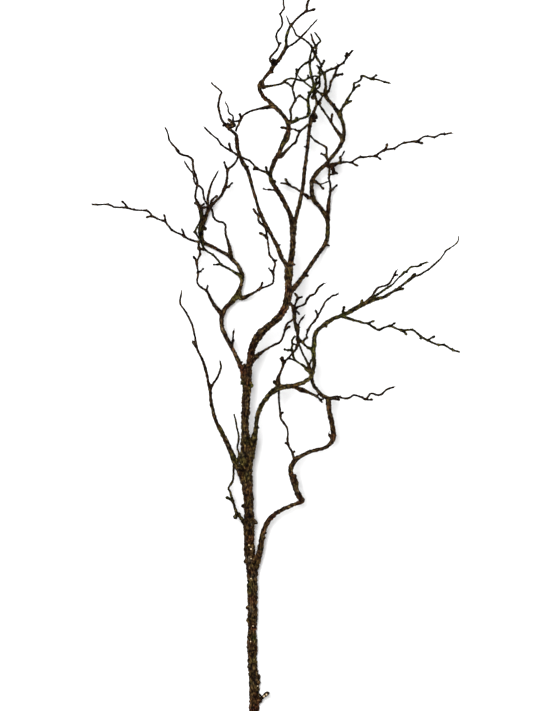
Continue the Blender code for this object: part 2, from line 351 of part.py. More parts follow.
CROWN = (
    Shoot("top_bough", "stem", (
        (293.2, 231, 2.7), (292.6, 222, 2.7), (291, 214, 2.2), (288.5, 208, 2.2, 104),
        (285.5, 202, 2.1), (282.3, 196, 2.2),
        (278.6, 190.5, 2.2, 112), (275, 186, 2.2), (272.4, 182.5, 2.1), (270.8, 178.5, 2),
        (270.4, 174, 1.9, 121), (271.5, 169.5, 2.1), (273, 164.5, 2.2), (275, 160, 2.4),
        (277.8, 155.3, 2.1, 129), (280, 150.3, 2), (282.3, 145.3, 2.3), (285.2, 140.5, 2.8),
        (287.3, 135.3, 2.9, 136), (288.5, 130.3, 2.2), (288.3, 125.5, 2), (287, 121, 2),
        (284.8, 117.7, 2, 142),
        (281.7, 113.7, 2), (278.1, 110, 2), (274.5, 106.5, 2, 147), (271, 103.2, 2), (267.5, 100.1, 2),
        (263.9, 97.2, 2, 156), (261.3, 93.2, 1.9), (259.8, 89.7, 1.9), (259.5, 86.3, 1.9, 168),
        (260.6, 83.6, 1.8), (262.9, 80.7, 1.7), (265.3, 77.2, 1.6, 178), (268, 74, 1.7), (270.4, 70.9, 1.8),
        (272.6, 67.5, 1.7, 187), (274.8, 64.6, 1.8), (278, 60.6, 1.8), (281, 56.5, 1.6, 194),
        (283.3, 52.7, 1.6), (285.5, 49, 1.6), (286.2, 44.5, 1.5, 200), (286, 40, 1.4), (286.6, 36, 1.3),
        (287.8, 32, 1.3, 204), (289.3, 28.5, 1.2), (291.2, 25.4, 1.2), (293.7, 22.4, 1, 209),
        (297, 18.7, .9), (301, 15, .9), (305, 12.2, .9, 215), (306.9, 10.5, 1.1), (306.8, 7, 1),
        (307.5, 3, 1), (309, 0, .9, 221), (310.5, -4, .7), (311, -8, .5, 225),
    ), spurs=(
        (287.5, 129.2, 281, 127.5, .9), (275, 188.5, 262.5, 188.2, .7), (306.8, 10.7, 315.4, 8.2, .6),
        (272, 179, 275.3, 181.7, 1.2), (272, 68.5, 271.6, 73, 1.5), (263, 84.3, 265, 88, 1.9),
        (276, 63.5, 274.8, 60, 1.2),
    ), knobs=((281.3, 141.5), (283.5, 54), (289, 22.8))),
    Shoot("top_right_tip", "top_bough", (
        (285.5, 49, 1.4), (289, 46.4, .9), (294.5, 43, .8, 205), (298, 40, .8), (300.7, 37.5, .8, 209),
        (304, 34, .7), (308, 29.7, .6, 212), (312, 25.2, .5), (317, 19.7, .4, 216),
    )),
    Shoot("top_left_tip", "top_bough", (
        (273.5, 66.3, 1.5), (272, 63.3, .9), (270.2, 61, .8), (269.8, 59, .8, 197), (270.8, 56.6, .8),
        (273.3, 53.7, .8), (276.3, 50.5, .8, 205), (278.2, 47.5, .8), (279, 44.8, .8), (277.6, 41.3, .8, 213),
        (276.5, 38.3, .8), (276.3, 36, .8), (276.8, 33.3, .7, 220), (278.4, 30.4, .8), (280.9, 27.7, .8),
        (282.1, 25, .8, 227), (282.2, 21.3, .8), (281.3, 17, .8), (280.2, 14.2, .8, 234), (282, 11.6, .8),
        (283.8, 9.4, .8), (284.2, 7.8, .8, 239), (283.7, 4.5, .7), (283.5, 0, .7, 245), (283.2, -4, .6),
        (283.6, -8, .5, 250),
    ), spurs=((279, 45.2, 280.5, 42.8, .6), (272.3, 64.5, 272.9, 58.8, .6)), knobs=((275.2, 36.4),)),
    Shoot("crown_left_link", "top_bough", (
        (259.5, 86.5, 2), (262.5, 86.4, 1.6), (266, 86.6, 1.3, 170), (270, 85.9, .9), (275, 85.2, .8, 167),
        (280, 84, .8), (283, 82.7, .9), (285, 80.8, .9, 163), (288, 79, .8), (291.5, 78.4, .8),
        (295.5, 79.2, .8, 158), (299, 80, .8), (303.5, 80.4, 1, 153), (306, 79.7, .8), (308.2, 77.9, .8),
        (310.3, 77.4, .7, 147),
    ), spurs=((284.5, 81.5, 288, 83.2, .8), (287.5, 82.9, 292, 87, .6), (308.8, 77.8, 308.3, 75.2, .6))),
    Shoot("crown_riser", "top_bough", (
        (288.5, 125, 1.6), (290.8, 120.5, 1), (290.9, 115, .9, 139), (290.4, 109.8, 1), (293, 104.5, .8, 137),
        (295.2, 99.8, 1.1), (294.1, 95, .8), (292.9, 91, .8, 134), (292.6, 87.6, 1), (293.5, 84, .8),
        (295.6, 79.8, .9, 137), (296.3, 76, .8), (297.2, 72.4, .9), (298.9, 69.6, .8, 141), (301.5, 66.4, .8),
        (304.5, 64, .9), (307.3, 62.4, .9, 146), (309.3, 61.2, .7, 148),
    ), spurs=(
        (295, 99.7, 300.2, 94.9, .7), (300, 95.1, 307.5, 101, .6), (297.4, 71.9, 296.4, 68.8, .7),
    ), knobs=((294.8, 73.2), (289.2, 109.5), (296.8, 100.8), (306, 64.2))),
    Shoot("crown_right_twig", "top_bough", (
        (278, 155.5, 2.1), (280.5, 156.8, 2), (282.9, 154.4, 1.8), (286, 150.9, 1.4, 124), (289.6, 147.3, 1),
        (292.7, 144.3, .9), (295.8, 142, 1.1, 117), (297, 138, .9), (298.5, 134.5, .8),
        (299.6, 131.6, 1, 112),
        (302.5, 129.3, .9), (305.5, 126.7, .9), (308.3, 124.2, .8, 108),
    ), spurs=((299.3, 131.3, 295, 129.2, .7), (295.5, 129.3, 291, 129.3, .5)),
        knobs=((295.7, 143.4), (299, 129.3), (301, 132.6))),
    Shoot("green_crown_strand", "top_bough", (
        (287.5, 124.5, 2), (291, 122.5, 1.9), (294, 121.5, 1.6), (297.5, 120, 1.1, 128), (301, 118.6, .9),
        (304.5, 117.5, 1, 120), (307.3, 115.7, 1.2), (308.8, 112, 1.4), (308.4, 107.5, 1.2, 114),
        (307.9, 102.5, 1.1), (308.3, 98, 1.1, 113), (309.6, 94.3, 1.2), (311.7, 91, 1.3, 115),
        (313.4, 87.5, 1.4), (313.8, 84, 1.4, 118), (312.8, 80, 1.3), (311.3, 75.5, 1.2, 121),
        (310.4, 70.5, 1), (309.9, 66, 1), (309.6, 61.5, 1.1, 126), (310.2, 57, .9), (311.2, 52.3, .8, 131),
        (312.6, 49, 1), (314.3, 47.5, .9), (316, 46, .9, 136), (318.2, 43.4, .7), (320.4, 41, .8, 140),
        (318.6, 37.6, .6), (316.5, 34.7, .6), (314.3, 32, .5, 146),
    ), spurs=((296, 120.8, 296.8, 117.3, 1), (309.8, 93.8, 308.2, 92.5, .8), (312, 77, 315.5, 76, .5),
              (315.3, 76, 318.3, 76.7, .5)),
        knobs=((309, 72.3), (312.7, 73.8))),
    Shoot("crown_top_twig", "green_crown_strand", (
        (315.8, 46.3, .9), (314.2, 43.7, .7), (313, 41, .8, 141), (311.9, 37.3, .7), (311, 34, .8, 147),
    ), knobs=((312, 40.6),)),
    Shoot("crown_left_runner", "green_crown_strand", (
        (312.6, 49, .9), (311.2, 46, .8), (309, 43.5, .8, 140), (306, 41, .7), (303, 38.8, .7, 145),
        (300, 37.2, .7), (296.2, 34.9, .6, 150), (295, 32.3, .7), (293.7, 29.2, .7), (292, 26.3, .6, 154),
        (289.6, 23.6, .6), (288.4, 20.7, .5), (286.5, 16.3, .4, 160),
    )),
    Shoot("crown_side_loop", "green_crown_strand", (
        (309.7, 62, .9), (311.5, 60.8, .9), (313.4, 58.5, .9, 131), (315.3, 55.3, 1), (316.2, 52, .7, 135),
        (316.4, 48.5, .7, 138),
    ), spurs=((315, 55.5, 313.4, 50.5, .7),), knobs=((317.6, 53.5), (317.7, 48.2))),
    Shoot("middle_bough", "stem", (
        (293.5, 227, 2.6), (295.6, 218.5, 2.1), (297.3, 212, 1.9), (299, 206, 1.9, 101), (300.6, 199, 2),
        (302.3, 190, 1.9, 104), (303.5, 181, 2), (304.6, 170, 1.9, 104), (306, 160, 1.6),
        (307.2, 150, 1.5, 100), (308.2, 141, 1.6), (308.8, 134, 1.6), (309.5, 128, 1.6, 96),
        (310.6, 122, 2), (312, 118, 2.9), (313.6, 115.3, 3, 93), (314.1, 111.5, 1.6), (315.6, 107, 1.2),
        (317.2, 103, 1.5, 96), (315.9, 98.8, 1.1), (314.9, 94.5, 1.1, 99), (314.4, 90, 1.5),
        (314.4, 86.3, 1.5, 101), (316.4, 83.9, 1.2), (319, 82, 1, 102), (319.7, 79, .8), (319.2, 76.8, .8),
        (320.3, 75.4, .7, 103),
    ), spurs=(
        (311.5, 121.5, 315.2, 121.2, 1), (316.3, 83.8, 316.4, 78.8, .8), (316.3, 79.3, 318.3, 76.8, .6),
        (313.5, 92, 312.2, 98.3, 1.7), (317.3, 102.8, 321, 103.5, .8), (313, 117, 317, 116.5, 1.8),
    ), knobs=(
        (302.7, 169.5), (303.8, 146.5), (307.8, 161.3), (305.2, 146.8), (307.2, 133), (311.8, 127), (310.8, 133.2),
    )),
    Shoot("middle_top_loop", "middle_bough", (
        (314.4, 90.3, 1), (317, 88.7, .8), (319.2, 86.5, .8, 105), (319.9, 84, .7), (319.8, 81, .6, 108),
    )),
    Shoot("right_bough", "stem", (
        (288.5, 296, 3.2), (292, 290, 2.8), (295.5, 286, 2.4, 82), (299, 281.5, 2.2), (303, 276.5, 2.1, 68),
        (307, 270.5, 2), (311, 264.5, 2, 50), (315.5, 258, 2), (320, 251.5, 2, 29), (324, 246, 2.2),
        (326.5, 240, 2.1, 11), (327.5, 233, 2.1, 2.9), (327.8, 226, 2.1, 2.8), (327.4, 220, 2.2, 2.9),
        (325.1, 215.2, 2.2, 8), (322.4, 210.4, 2.1), (318.9, 206, 2.1, 17), (315.5, 202.4, 2.2),
        (313.5, 198.5, 2.2),
        (312.2, 195, 2.1, 26), (311.5, 190, 2.1), (311.7, 185, 2.1, 34), (312.2, 180.5, 2.1),
        (313.8, 177, 2.1), (316.7, 172.8, 2.1, 42), (320.9, 168.6, 2.1), (326, 164.2, 2, 48),
        (329.7, 159.5, 1.9), (334.1, 154.5, 1.9, 53), (337.7, 149.6, 1.8), (340.6, 144.8, 1.8, 58),
        (342.8, 140, 2),
        (343.9, 135, 2), (344, 130, 1.8, 65), (343.3, 124.8, 1.7), (341.8, 120, 1.8), (339.6, 115.4, 1.9, 73),
        (337.1, 111, 2.1), (334.3, 106.8, 2), (331.2, 103.1, 1.7, 81), (327.8, 99.5, 1.7),
        (325.8, 95.8, 2.1), (325, 92.3, 1.7, 89), (325.7, 87, 1.3), (325.6, 81.5, 1.2, 95),
        (324.4, 75.5, 1.3), (323.2, 73, 1.3, 100), (321.7, 71, 1.2), (319.9, 68.7, 1), (318.2, 66.9, .9, 105),
        (316.5, 65, .9, 106),
    ), spurs=(
        (303.5, 276, 308, 275.8, .8), (312, 181.5, 316.5, 182, 1.7), (315.5, 182.5, 320.3, 184.7, .8),
        (319.8, 184.3, 323.6, 188.8, .7), (324.5, 94.8, 321.2, 93.8, 1.3), (322.2, 94.3, 319.3, 101.5, .8),
        (320, 69, 322, 65.6, .9), (321.8, 65.8, 324, 60.2, .9), (321.5, 65.3, 317.5, 59, .8),
        (317.6, 59.3, 315.7, 55.8, .7), (323.3, 73.4, 320, 75.5, .9), (320, 69.3, 319.2, 73.5, .9),
    ), knobs=((335.2, 104), (330, 246), (342.3, 147.5))),
    Shoot("right_low_twig", "right_bough", (
        (313, 197.8, 2), (309.5, 197.8, 1.4), (306.5, 195.8, 1.8, 28), (303, 193.4, 1.2),
        (299, 190.6, .9, 36),
        (295, 188, .9), (291, 186, .8, 44), (288.5, 184.4, .9), (285, 183.7, .7), (280.8, 183, .6, 52),
    ), spurs=((289, 184.6, 285.3, 178.6, .8),), knobs=((305, 193.7), (307.2, 199.4))),
    Shoot("right_rising_twig", "right_bough", (
        (327.4, 220.5, 2), (328, 213, 2.1, 9), (328.4, 205, 2.1), (329, 199.5, 1.5, 20), (329.8, 195, 1.1),
        (330.3, 190, 1.1, 34), (330.3, 186, .9), (329.7, 182, .9), (328.9, 178, .8, 50), (329.1, 173.5, .8),
        (329.3, 169.5, .8), (329, 165.5, .9, 64), (328, 162, 1), (327, 159, 1), (326.5, 155.5, .9, 71),
        (326.7, 151.5, .8), (326.3, 147.8, .9, 74), (323, 145, .8), (319.3, 143.4, .8, 76),
        (315.5, 140.8, .9), (312.8, 138.5, .8), (310.2, 135.3, .7, 78),
    ), spurs=(
        (330.5, 191.5, 333.3, 188.4, 1), (333, 188.7, 337.2, 185.2, .7), (329.3, 175.6, 333, 174.2, .7),
        (332.7, 174.3, 337, 172.7, .6), (326.3, 156.8, 323.5, 154.6, .9), (323.7, 154.8, 321, 153.2, .7),
    ), knobs=((331.3, 183.3), (327.3, 177.5), (327.3, 146.4), (328.3, 181.4), (315, 142.3))),
    Shoot("right_long_twig", "right_bough", (
        (326.5, 164.5, 2.3), (330.5, 166, 2.4), (334, 164.6, 2.1, 53), (338, 163.3, 1.5), (342, 162.5, 1.1),
        (347, 162, .8), (351.5, 162.2, .9, 60), (356, 158.9, .8), (360.5, 157.1, 1, 64), (365, 157.1, .8),
        (370, 156.4, .8), (375, 156, .9, 71), (379, 153.2, .8), (384, 150.4, .9, 77), (390, 149.1, .8),
        (394.5, 148.4, .9, 80), (398, 146, .7), (402, 143.6, .7), (404.3, 142.8, .9, 82), (409, 142, .7),
        (413, 141.4, .8), (416.3, 141.5, .9, 85), (420, 139.2, .7), (423, 137.1, .7), (426.8, 136.3, .8, 90),
        (430.5, 136.6, .7), (434.3, 137.2, .8), (438, 135.6, .6), (440.8, 134.3, .8, 95), (444.3, 134.1, .8),
        (448, 133.6, .7), (452, 133, .9, 100),
    ), spurs=(
        (332.8, 165.5, 333.6, 170.2, 1.6), (333.4, 169.6, 332.7, 174.5, .8), (333.5, 169.8, 337.3, 173.5, .7),
        (341, 162.2, 340.4, 156.8, 1), (340.5, 157.3, 344.3, 151, .5), (352, 162.2, 357.9, 165.8, .7),
        (375.5, 156, 380.6, 159.4, .7), (384.3, 150.2, 387.1, 143.7, .9), (416.5, 141.7, 422.6, 143.3, .9),
    ), knobs=((343.8, 160.6), (360.4, 155), (403.9, 141), (395.2, 150.2), (427.5, 134.7), (434.7, 138.5),
              (444.3, 131.8), (444.4, 135.9), (363, 158.4))),
    Shoot("right_upper_twig", "right_bough", (
        (340.5, 116, 2), (340.6, 112, 1.6), (341.6, 109, 1.2), (343.6, 105.6, .9, 82), (345.8, 102.2, .9),
        (347.8, 98.8, 1.1, 88), (350, 95, .8), (352, 92, .8, 93), (353.7, 89.3, 1), (353.8, 86, .9),
        (354.4, 83.4, 1, 99), (357, 82.1, .8), (360, 80.4, .8), (361.5, 78.3, .8, 104), (361.7, 76, 1.1),
        (364.8, 76.3, .7), (368, 77.7, .7), (371.3, 79, .9, 106), (374.5, 79.2, .7), (378, 79.8, .7),
        (381.5, 80.8, .7, 111), (384.3, 82, .8), (387, 82.5, .7), (389.7, 83.2, .7, 116),
    ), spurs=(
        (344, 105.2, 351.4, 100.6, .8), (353.6, 89.2, 360, 85.4, .8), (371.8, 79, 377, 75, .7),
    ), knobs=((360.3, 76.4), (373.4, 80.7), (383.3, 83.4), (385.5, 80.6), (347, 97.8))),
    Shoot("right_inner_twig", "right_bough", (
        (343, 139.5, 2), (340.3, 135.3, 2), (337.5, 131.7, 1.7, 68), (335, 128.6, 1.4), (332.3, 124.3, 1),
        (330, 120, .9, 78), (327, 115.8, .8), (324.3, 111.7, .8, 84), (321.5, 107.8, .8),
        (319, 104.3, .8, 88),
        (317.8, 101.5, .7, 89),
    ), spurs=((330.5, 120.8, 332, 113.7, .8),), knobs=((320.6, 110),)),
    Shoot("crown_cross_twig", "right_bough", (
        (325.5, 94.5, 1.5), (321.5, 93.9, .9), (318.2, 91.6, .7, 93), (315.3, 89.5, .7),
        (311.5, 87.4, .7, 97),
        (308.5, 85.2, .7), (305.5, 82.9, .7), (302.7, 80.2, .6, 102), (300.3, 78.2, .5),
        (298.2, 76.2, .4, 105),
    )),
    Shoot("right_top_twig", "right_bough", (
        (324, 75, 1.3), (326.2, 71.6, .9), (330, 69.6, .8, 105), (333.7, 68.5, .8), (336, 67.2, .9),
        (338.6, 66, 1, 110), (341, 64.3, .8), (343.4, 62.6, .8, 114), (345.3, 60, .8), (346.5, 57.8, .8),
        (348.6, 55, 1, 119), (350.5, 52.8, .8), (352.9, 50.2, .9, 124),
    ), spurs=((346.4, 58, 345.2, 55.4, .6), (348.5, 55.2, 346.7, 53, .9)),
        knobs=((326.5, 69.2), (331.3, 67.3), (344.7, 64.2), (350.4, 56))),
    Shoot("right_side_riser", "right_bough", (
        (325.5, 94.3, 1.3), (328.3, 91.4, .9), (329.6, 88, .8), (330.3, 84.5, .8, 96), (330.9, 82, .9),
        (332.3, 79.3, .8), (334.2, 76.5, .9, 102), (335.4, 73, .9), (336.4, 69.8, .9), (338, 66.8, .8, 108),
        (337.7, 64.2, .7, 110),
    ), spurs=((334.6, 76.2, 338, 75.1, .9), (337.6, 75.2, 342.7, 74.6, .9)),
        knobs=((329.6, 81.2), (329.9, 91.7), (335.5, 77.7))),
)

SHOOTS = {shoot.name: shoot for shoot in (STEM, *RIGHT_SIDE, *LEFT_SIDE, *CROWN)}
routes = {}


def place(across, down, height):
    """The point that is seen at this place in the photograph, from VIEW_DISTANCE above the surface."""
    nearer = (VIEW_DISTANCE - height) / VIEW_DISTANCE
    x = (PHOTO_MIDDLE[0] - ORIGIN_PIXEL[0] + (across - PHOTO_MIDDLE[0]) * nearer) * PIXEL
    y = (ORIGIN_PIXEL[1] - PHOTO_MIDDLE[1] + (PHOTO_MIDDLE[1] - down) * nearer) * PIXEL
    return Vector((x, y, height))


def curved(points, steps):
    """Rows read from the smooth curve through these rows, with this many steps between two of them."""
    rows = np.array(points, float)
    rows = np.vstack((2 * rows[0] - rows[1], rows, 2 * rows[-1] - rows[-2]))
    found = []
    for before, start, end, after in zip(rows, rows[1:], rows[2:], rows[3:]):
        for step in range(steps):
            t = step / steps
            found.append(0.5 * (2 * start + (end - before) * t
                                + (2 * before - 5 * start + 4 * end - after) * t ** 2
                                + (3 * start - before - 3 * end + after) * t ** 3))
    return np.vstack((found, rows[-2]))


def eased(at, known_at, known):
    """A smooth run of values through the known ones."""
    slopes = np.gradient(known, known_at) if len(known) > 2 else np.zeros(len(known))
    slot = np.clip(np.searchsorted(known_at, at, "right") - 1, 0, len(known) - 2)
    span = known_at[slot + 1] - known_at[slot]
    t = (at - known_at[slot]) / span
    rise = known[slot + 1] - known[slot]
    return (known[slot] + rise * t ** 2 * (3 - 2 * t)
            + span * t * (1 - t) * (slopes[slot] * (1 - t) - slopes[slot + 1] * t))


def nearest(rows, across, down):
    """The row that is nearest in the photograph."""
    return rows[np.argmin(np.hypot(rows[:, 0] - across, rows[:, 1] - down))]


def route_of(name):
    """The middle line of a shoot as rows of (across, down, radius, height): pixels, then metres."""
    if name in routes:
        return routes[name]
    shoot = SHOOTS[name]
    points = np.array([point[:3] for point in shoot.points], float)
    known = {index: point[3] / 1000 for index, point in enumerate(shoot.points) if len(point) > 3}
    if shoot.parent:
        root = nearest(route_of(shoot.parent), *points[0, :2])
        points[0, :2] = root[:2]
        known[0] = root[3]
    line = curved(points, CURVE_STEPS)
    along = np.concatenate(([0], np.cumsum(np.hypot(*np.diff(line[:, :2], axis=0).T)))) * PIXEL
    at = sorted(known)
    height = eased(along, along[np.array(at) * CURVE_STEPS], np.array([known[index] for index in at]))
    if shoot.points[0][2] * PIXEL < CURLING_RADIUS:
        draw = random.Random(SEED + sum(map(ord, name)))
        turns = 2 * math.pi * along / CURL_LENGTH
        wave = np.sin(turns + draw.uniform(0, 6)) - 0.5 * np.sin(1.7 * turns + draw.uniform(0, 6))
        height += CURL_HEIGHT * np.minimum(1, along / CURL_LENGTH) * wave
    radius = line[:, 2] * PIXEL
    radius += FULLER * np.clip((THICK_RADIUS - radius) / (THICK_RADIUS - THIN_RADIUS), 0, 1)
    routes[name] = np.column_stack((line[:, 0], line[:, 1], radius, height))
    return routes[name]


def thinned(rows, tolerance):
    """Only the rows that a route's shape needs, within the tolerance."""
    if len(rows) < 3:
        return rows
    start, end = rows[0], rows[-1]
    chord = end - start
    share = np.clip((rows - start) @ chord / (chord @ chord), 0, 1)
    off = np.linalg.norm(rows - start - share[:, None] * chord, axis=1)
    worst = int(np.argmax(off))
    if off[worst] < tolerance:
        return np.array([start, end])
    return np.vstack((thinned(rows[:worst + 1], tolerance)[:-1], thinned(rows[worst:], tolerance)))


def ring_round(centre, along, radius, sides, turn):
    """Corners of a ring. It has one side level at the bottom if the turn, in sides, is a half."""
    reference = Vector((0, 0, 1)) if abs(along.z) < 0.95 else Vector((0, 1, 0))
    side = along.cross(reference).normalized()
    up = side.cross(along)
    for step in range(sides):
        angle = (step + turn) / sides * 2 * math.pi - math.pi / 2
        point = centre + float(radius) * (math.cos(angle) * side + math.sin(angle) * up)
        yield point.x, point.y, max(point.z, 0)


def tube(name, centres, radii, sides, turn=LEVEL_SIDE):
    """A closed tube whose rings stand square to its path. None of it is below the surface."""
    bm = bmesh.new()
    rings = []
    for index, (centre, radius) in enumerate(zip(centres, radii)):
        ahead = centres[min(index + 1, len(centres) - 1)] - centre
        behind = centre - centres[max(index - 1, 0)]
        along = (ahead.normalized() + behind.normalized()).normalized()
        rings.append([bm.verts.new(corner) for corner in ring_round(centre, along, radius, sides, turn)])
    for ring, following in zip(rings, rings[1:]):
        for step in range(sides):
            after = (step + 1) % sides
            bm.faces.new((ring[step], following[step], following[after], ring[after]))
    bm.faces.new(rings[0])
    bm.faces.new(reversed(rings[-1]))
    bmesh.ops.recalc_face_normals(bm, faces=bm.faces)
    bmesh.ops.triangulate(bm, faces=bm.faces)
    mesh = bpy.data.meshes.new(name)
    bm.to_mesh(mesh)
    bm.free()
    return bpy.data.objects.new(name, mesh)


def shoot_tube(shoot):
    """The tapering wood of one shoot, without its spurs."""
    route = route_of(shoot.name)
    radius = np.mean(route[:, 2])
    rows = np.array([(*place(row[0], row[1], row[3]), row[2]) for row in route])
    rows = thinned(rows, BOUGH_TOLERANCE if radius > BOUGH_RADIUS else TWIG_TOLERANCE)
    radii = np.maximum(rows[:, 3], LEAST_RADIUS)
    sides = next(sides for most, sides in SIDES if radius < most)
    turn = LEVEL_SIDE if sides > 4 else random.Random(shoot.name).uniform(*CORNER_DOWN)
    return tube(shoot.name, [Vector(row[:3]) for row in rows], radii, sides, turn)


def spurs_of(shoot):
    """Short side shoots and the knobs of the bark: small tapered tubes, rooted on the middle line."""
    wood = route_of(shoot.name)
    draw = random.Random(SEED + len(shoot.name))
    for number, (across, down, tip_across, tip_down, pixels) in enumerate(shoot.spurs):
        root = nearest(wood, across, down)
        length = math.hypot(tip_across - root[0], tip_down - root[1]) * PIXEL
        radius = pixels * PIXEL
        radii = (max(SPUR_ROOT * radius, LEAST_RADIUS), max(SPUR_TIP * radius, LEAST_RADIUS))
        height = max(root[3] + draw.uniform(*SPUR_RISE) * length, 2 * LEAST_RADIUS)
        tip = np.array((tip_across, tip_down, radii[1], height))
        ends = [place(row[0], row[1], row[3]) for row in (root, tip)]
        turn = draw.uniform(*CORNER_DOWN)
        if length > LEAST_SPUR:
            wood = np.vstack((wood, [root + (tip - root) * share for share in (0.4, 0.6, 0.8, 1)]))
            yield tube(f"{shoot.name}_spur_{number}", ends, radii, SPUR_SIDES, turn)
    for number, (across, down) in enumerate(shoot.knobs):
        root = nearest(wood, across, down)
        if root[2] < KNOB_BEARING:
            continue
        height = max(root[3] + draw.uniform(*KNOB_RISE) * root[2], KNOB_TIP * root[2])
        ends = [place(root[0], root[1], root[3]), place(across, down, height)]
        radii = (KNOB_ROOT * root[2], max(KNOB_TIP * root[2], LEAST_RADIUS))
        yield tube(f"{shoot.name}_knob_{number}", ends, radii, SPUR_SIDES, draw.uniform(*CORNER_DOWN))


def grown_together(stem, shoots):
    """The stem and all its shoots as one solid."""
    bpy.context.scene.collection.children.link(shoots)
    union = stem.modifiers.new("grown together", "BOOLEAN")
    union.operation = "UNION"
    union.operand_type = "COLLECTION"
    union.collection = shoots
    union.solver = "EXACT"
    union.use_self = True
    graph = bpy.context.evaluated_depsgraph_get()
    mesh = bpy.data.meshes.new_from_object(stem.evaluated_get(graph))
    stem.modifiers.clear()
    stem.data = mesh
    for shoot in list(shoots.objects):
        bpy.data.objects.remove(shoot)
    bpy.data.collections.remove(shoots)


def bark_material():
    """Dry willow bark: dark brown, matt."""
    bark = bpy.data.materials.new("dry_willow_bark")
    bark.use_nodes = True
    shader = bark.node_tree.nodes["Principled BSDF"]
    shader.inputs["Base Color"].default_value = (0.051, 0.032, 0.018, 1)
    shader.inputs["Roughness"].default_value = 0.75
    shader.inputs["Metallic"].default_value = 0
    return bark


def main():
    for found in list(bpy.data.objects):
        bpy.data.objects.remove(found)
    branch = shoot_tube(STEM)
    branch.name = "branch"
    bpy.context.scene.collection.objects.link(branch)
    shoots = bpy.data.collections.new("shoots")
    for shoot in SHOOTS.values():
        if shoot.parent:
            shoots.objects.link(shoot_tube(shoot))
        for spur in spurs_of(shoot):
            shoots.objects.link(spur)
    grown_together(branch, shoots)
    branch.data.materials.clear()
    branch.data.materials.append(bark_material())
    branch.data.shade_smooth()
    branch.data.set_sharp_from_angle(angle=math.radians(60))


main()
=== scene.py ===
import json
import math
import random
from collections import namedtuple

import bmesh
import bpy
import numpy as np
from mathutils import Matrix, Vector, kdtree

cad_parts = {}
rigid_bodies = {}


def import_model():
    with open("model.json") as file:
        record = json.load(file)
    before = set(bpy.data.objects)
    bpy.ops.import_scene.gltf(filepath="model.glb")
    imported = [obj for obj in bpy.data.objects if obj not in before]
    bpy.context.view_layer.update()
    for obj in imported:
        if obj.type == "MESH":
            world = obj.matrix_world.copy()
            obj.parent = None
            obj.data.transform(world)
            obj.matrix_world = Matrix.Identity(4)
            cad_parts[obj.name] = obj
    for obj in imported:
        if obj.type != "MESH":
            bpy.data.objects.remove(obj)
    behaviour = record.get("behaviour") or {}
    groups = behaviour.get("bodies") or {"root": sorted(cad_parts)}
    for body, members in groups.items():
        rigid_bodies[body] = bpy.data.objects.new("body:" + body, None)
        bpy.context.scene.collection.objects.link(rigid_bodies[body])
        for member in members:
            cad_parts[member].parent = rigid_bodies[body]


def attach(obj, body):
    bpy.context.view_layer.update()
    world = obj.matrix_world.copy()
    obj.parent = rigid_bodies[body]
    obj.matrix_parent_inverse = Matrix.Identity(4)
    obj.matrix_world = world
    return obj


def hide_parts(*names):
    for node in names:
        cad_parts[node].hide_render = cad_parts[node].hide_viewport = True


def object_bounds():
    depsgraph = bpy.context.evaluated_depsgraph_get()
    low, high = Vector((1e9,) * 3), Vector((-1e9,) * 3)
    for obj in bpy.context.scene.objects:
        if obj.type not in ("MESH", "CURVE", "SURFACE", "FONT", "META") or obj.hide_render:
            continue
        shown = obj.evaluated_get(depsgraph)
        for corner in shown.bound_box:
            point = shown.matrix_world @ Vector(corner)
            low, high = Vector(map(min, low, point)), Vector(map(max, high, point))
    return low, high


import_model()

CAD_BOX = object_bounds()

# Driving dimensions, in metres, as in the part's source. VIEW_LENGTH is how much of the surface the
# photographed branch spans, and VIEW_DISTANCE is how far above the surface it was looked at from.
VIEW_LENGTH = 1.236
VIEW_DISTANCE = 4.0
CURL_HEIGHT = 0.005
CURL_LENGTH = 0.075
PHOTO_SIZE = (533, 711)
PHOTO_LENGTH = 727
PHOTO_MIDDLE = (266.5, 355.5)
ORIGIN_PIXEL = (274.44, 365.36)
PIXEL = VIEW_LENGTH / PHOTO_LENGTH
CURLING_RADIUS = 2.5 * PIXEL
CURVE_STEPS = 3
SEED = 11

# The bright background eats into thin twigs in the photograph. FULLER is given back to wood up to
# THIN_RADIUS, and less of it up to THICK_RADIUS.
FULLER = 0.0005
THIN_RADIUS = 0.0012
THICK_RADIUS = 0.0034

# A spur rises by this share of its length, and ends in a bud, BUD_REACH further out. It is this thick at
# these places from root to tip, as shares of its radius, and bows to one side.
SPUR_RISE = (-0.3, 0.8)
BUD_REACH = 0.0011
SPUR_PLACES = (0, 0.25, 0.5, 0.8, 1)
SPUR_SHAPE = (1.3, 1.1, 1.0, 1.35, 0.6)
SPUR_BEND = 0.09
SPUR_BOW = (0.7, 1, 0.6)

# The same for a knob of the bark, in shares of the radius of the wood that bears it. It keeps KNOB_LOWEST
# of that radius above the surface.
KNOB_RISE = (-0.4, 0.6)
KNOB_BEARING = 0.003
KNOB_LOWEST = 0.3
KNOB_PLACES = (0, 0.5, 0.85, 1)
KNOB_SHAPE = (0.6, 0.5, 0.42, 0.25)

# The skin. GRAIN is the edge of one of its faces, ROW_STEP is how close the rows of the middle lines lie,
# and FILLET is how round the corner of a fork is. MOST_DRAW is how far a spot moves in one round.
GRAIN = 0.0009
LINE_STEPS = 8
ROW_STEP = 0.0008
THINNEST = 0.0005
SKIN_LEAST = 0.0009
FILLET = 0.0007
DRAW_ROUNDS = 3
MOST_DRAW = 0.0015
CUT_EDGE = 0.00002

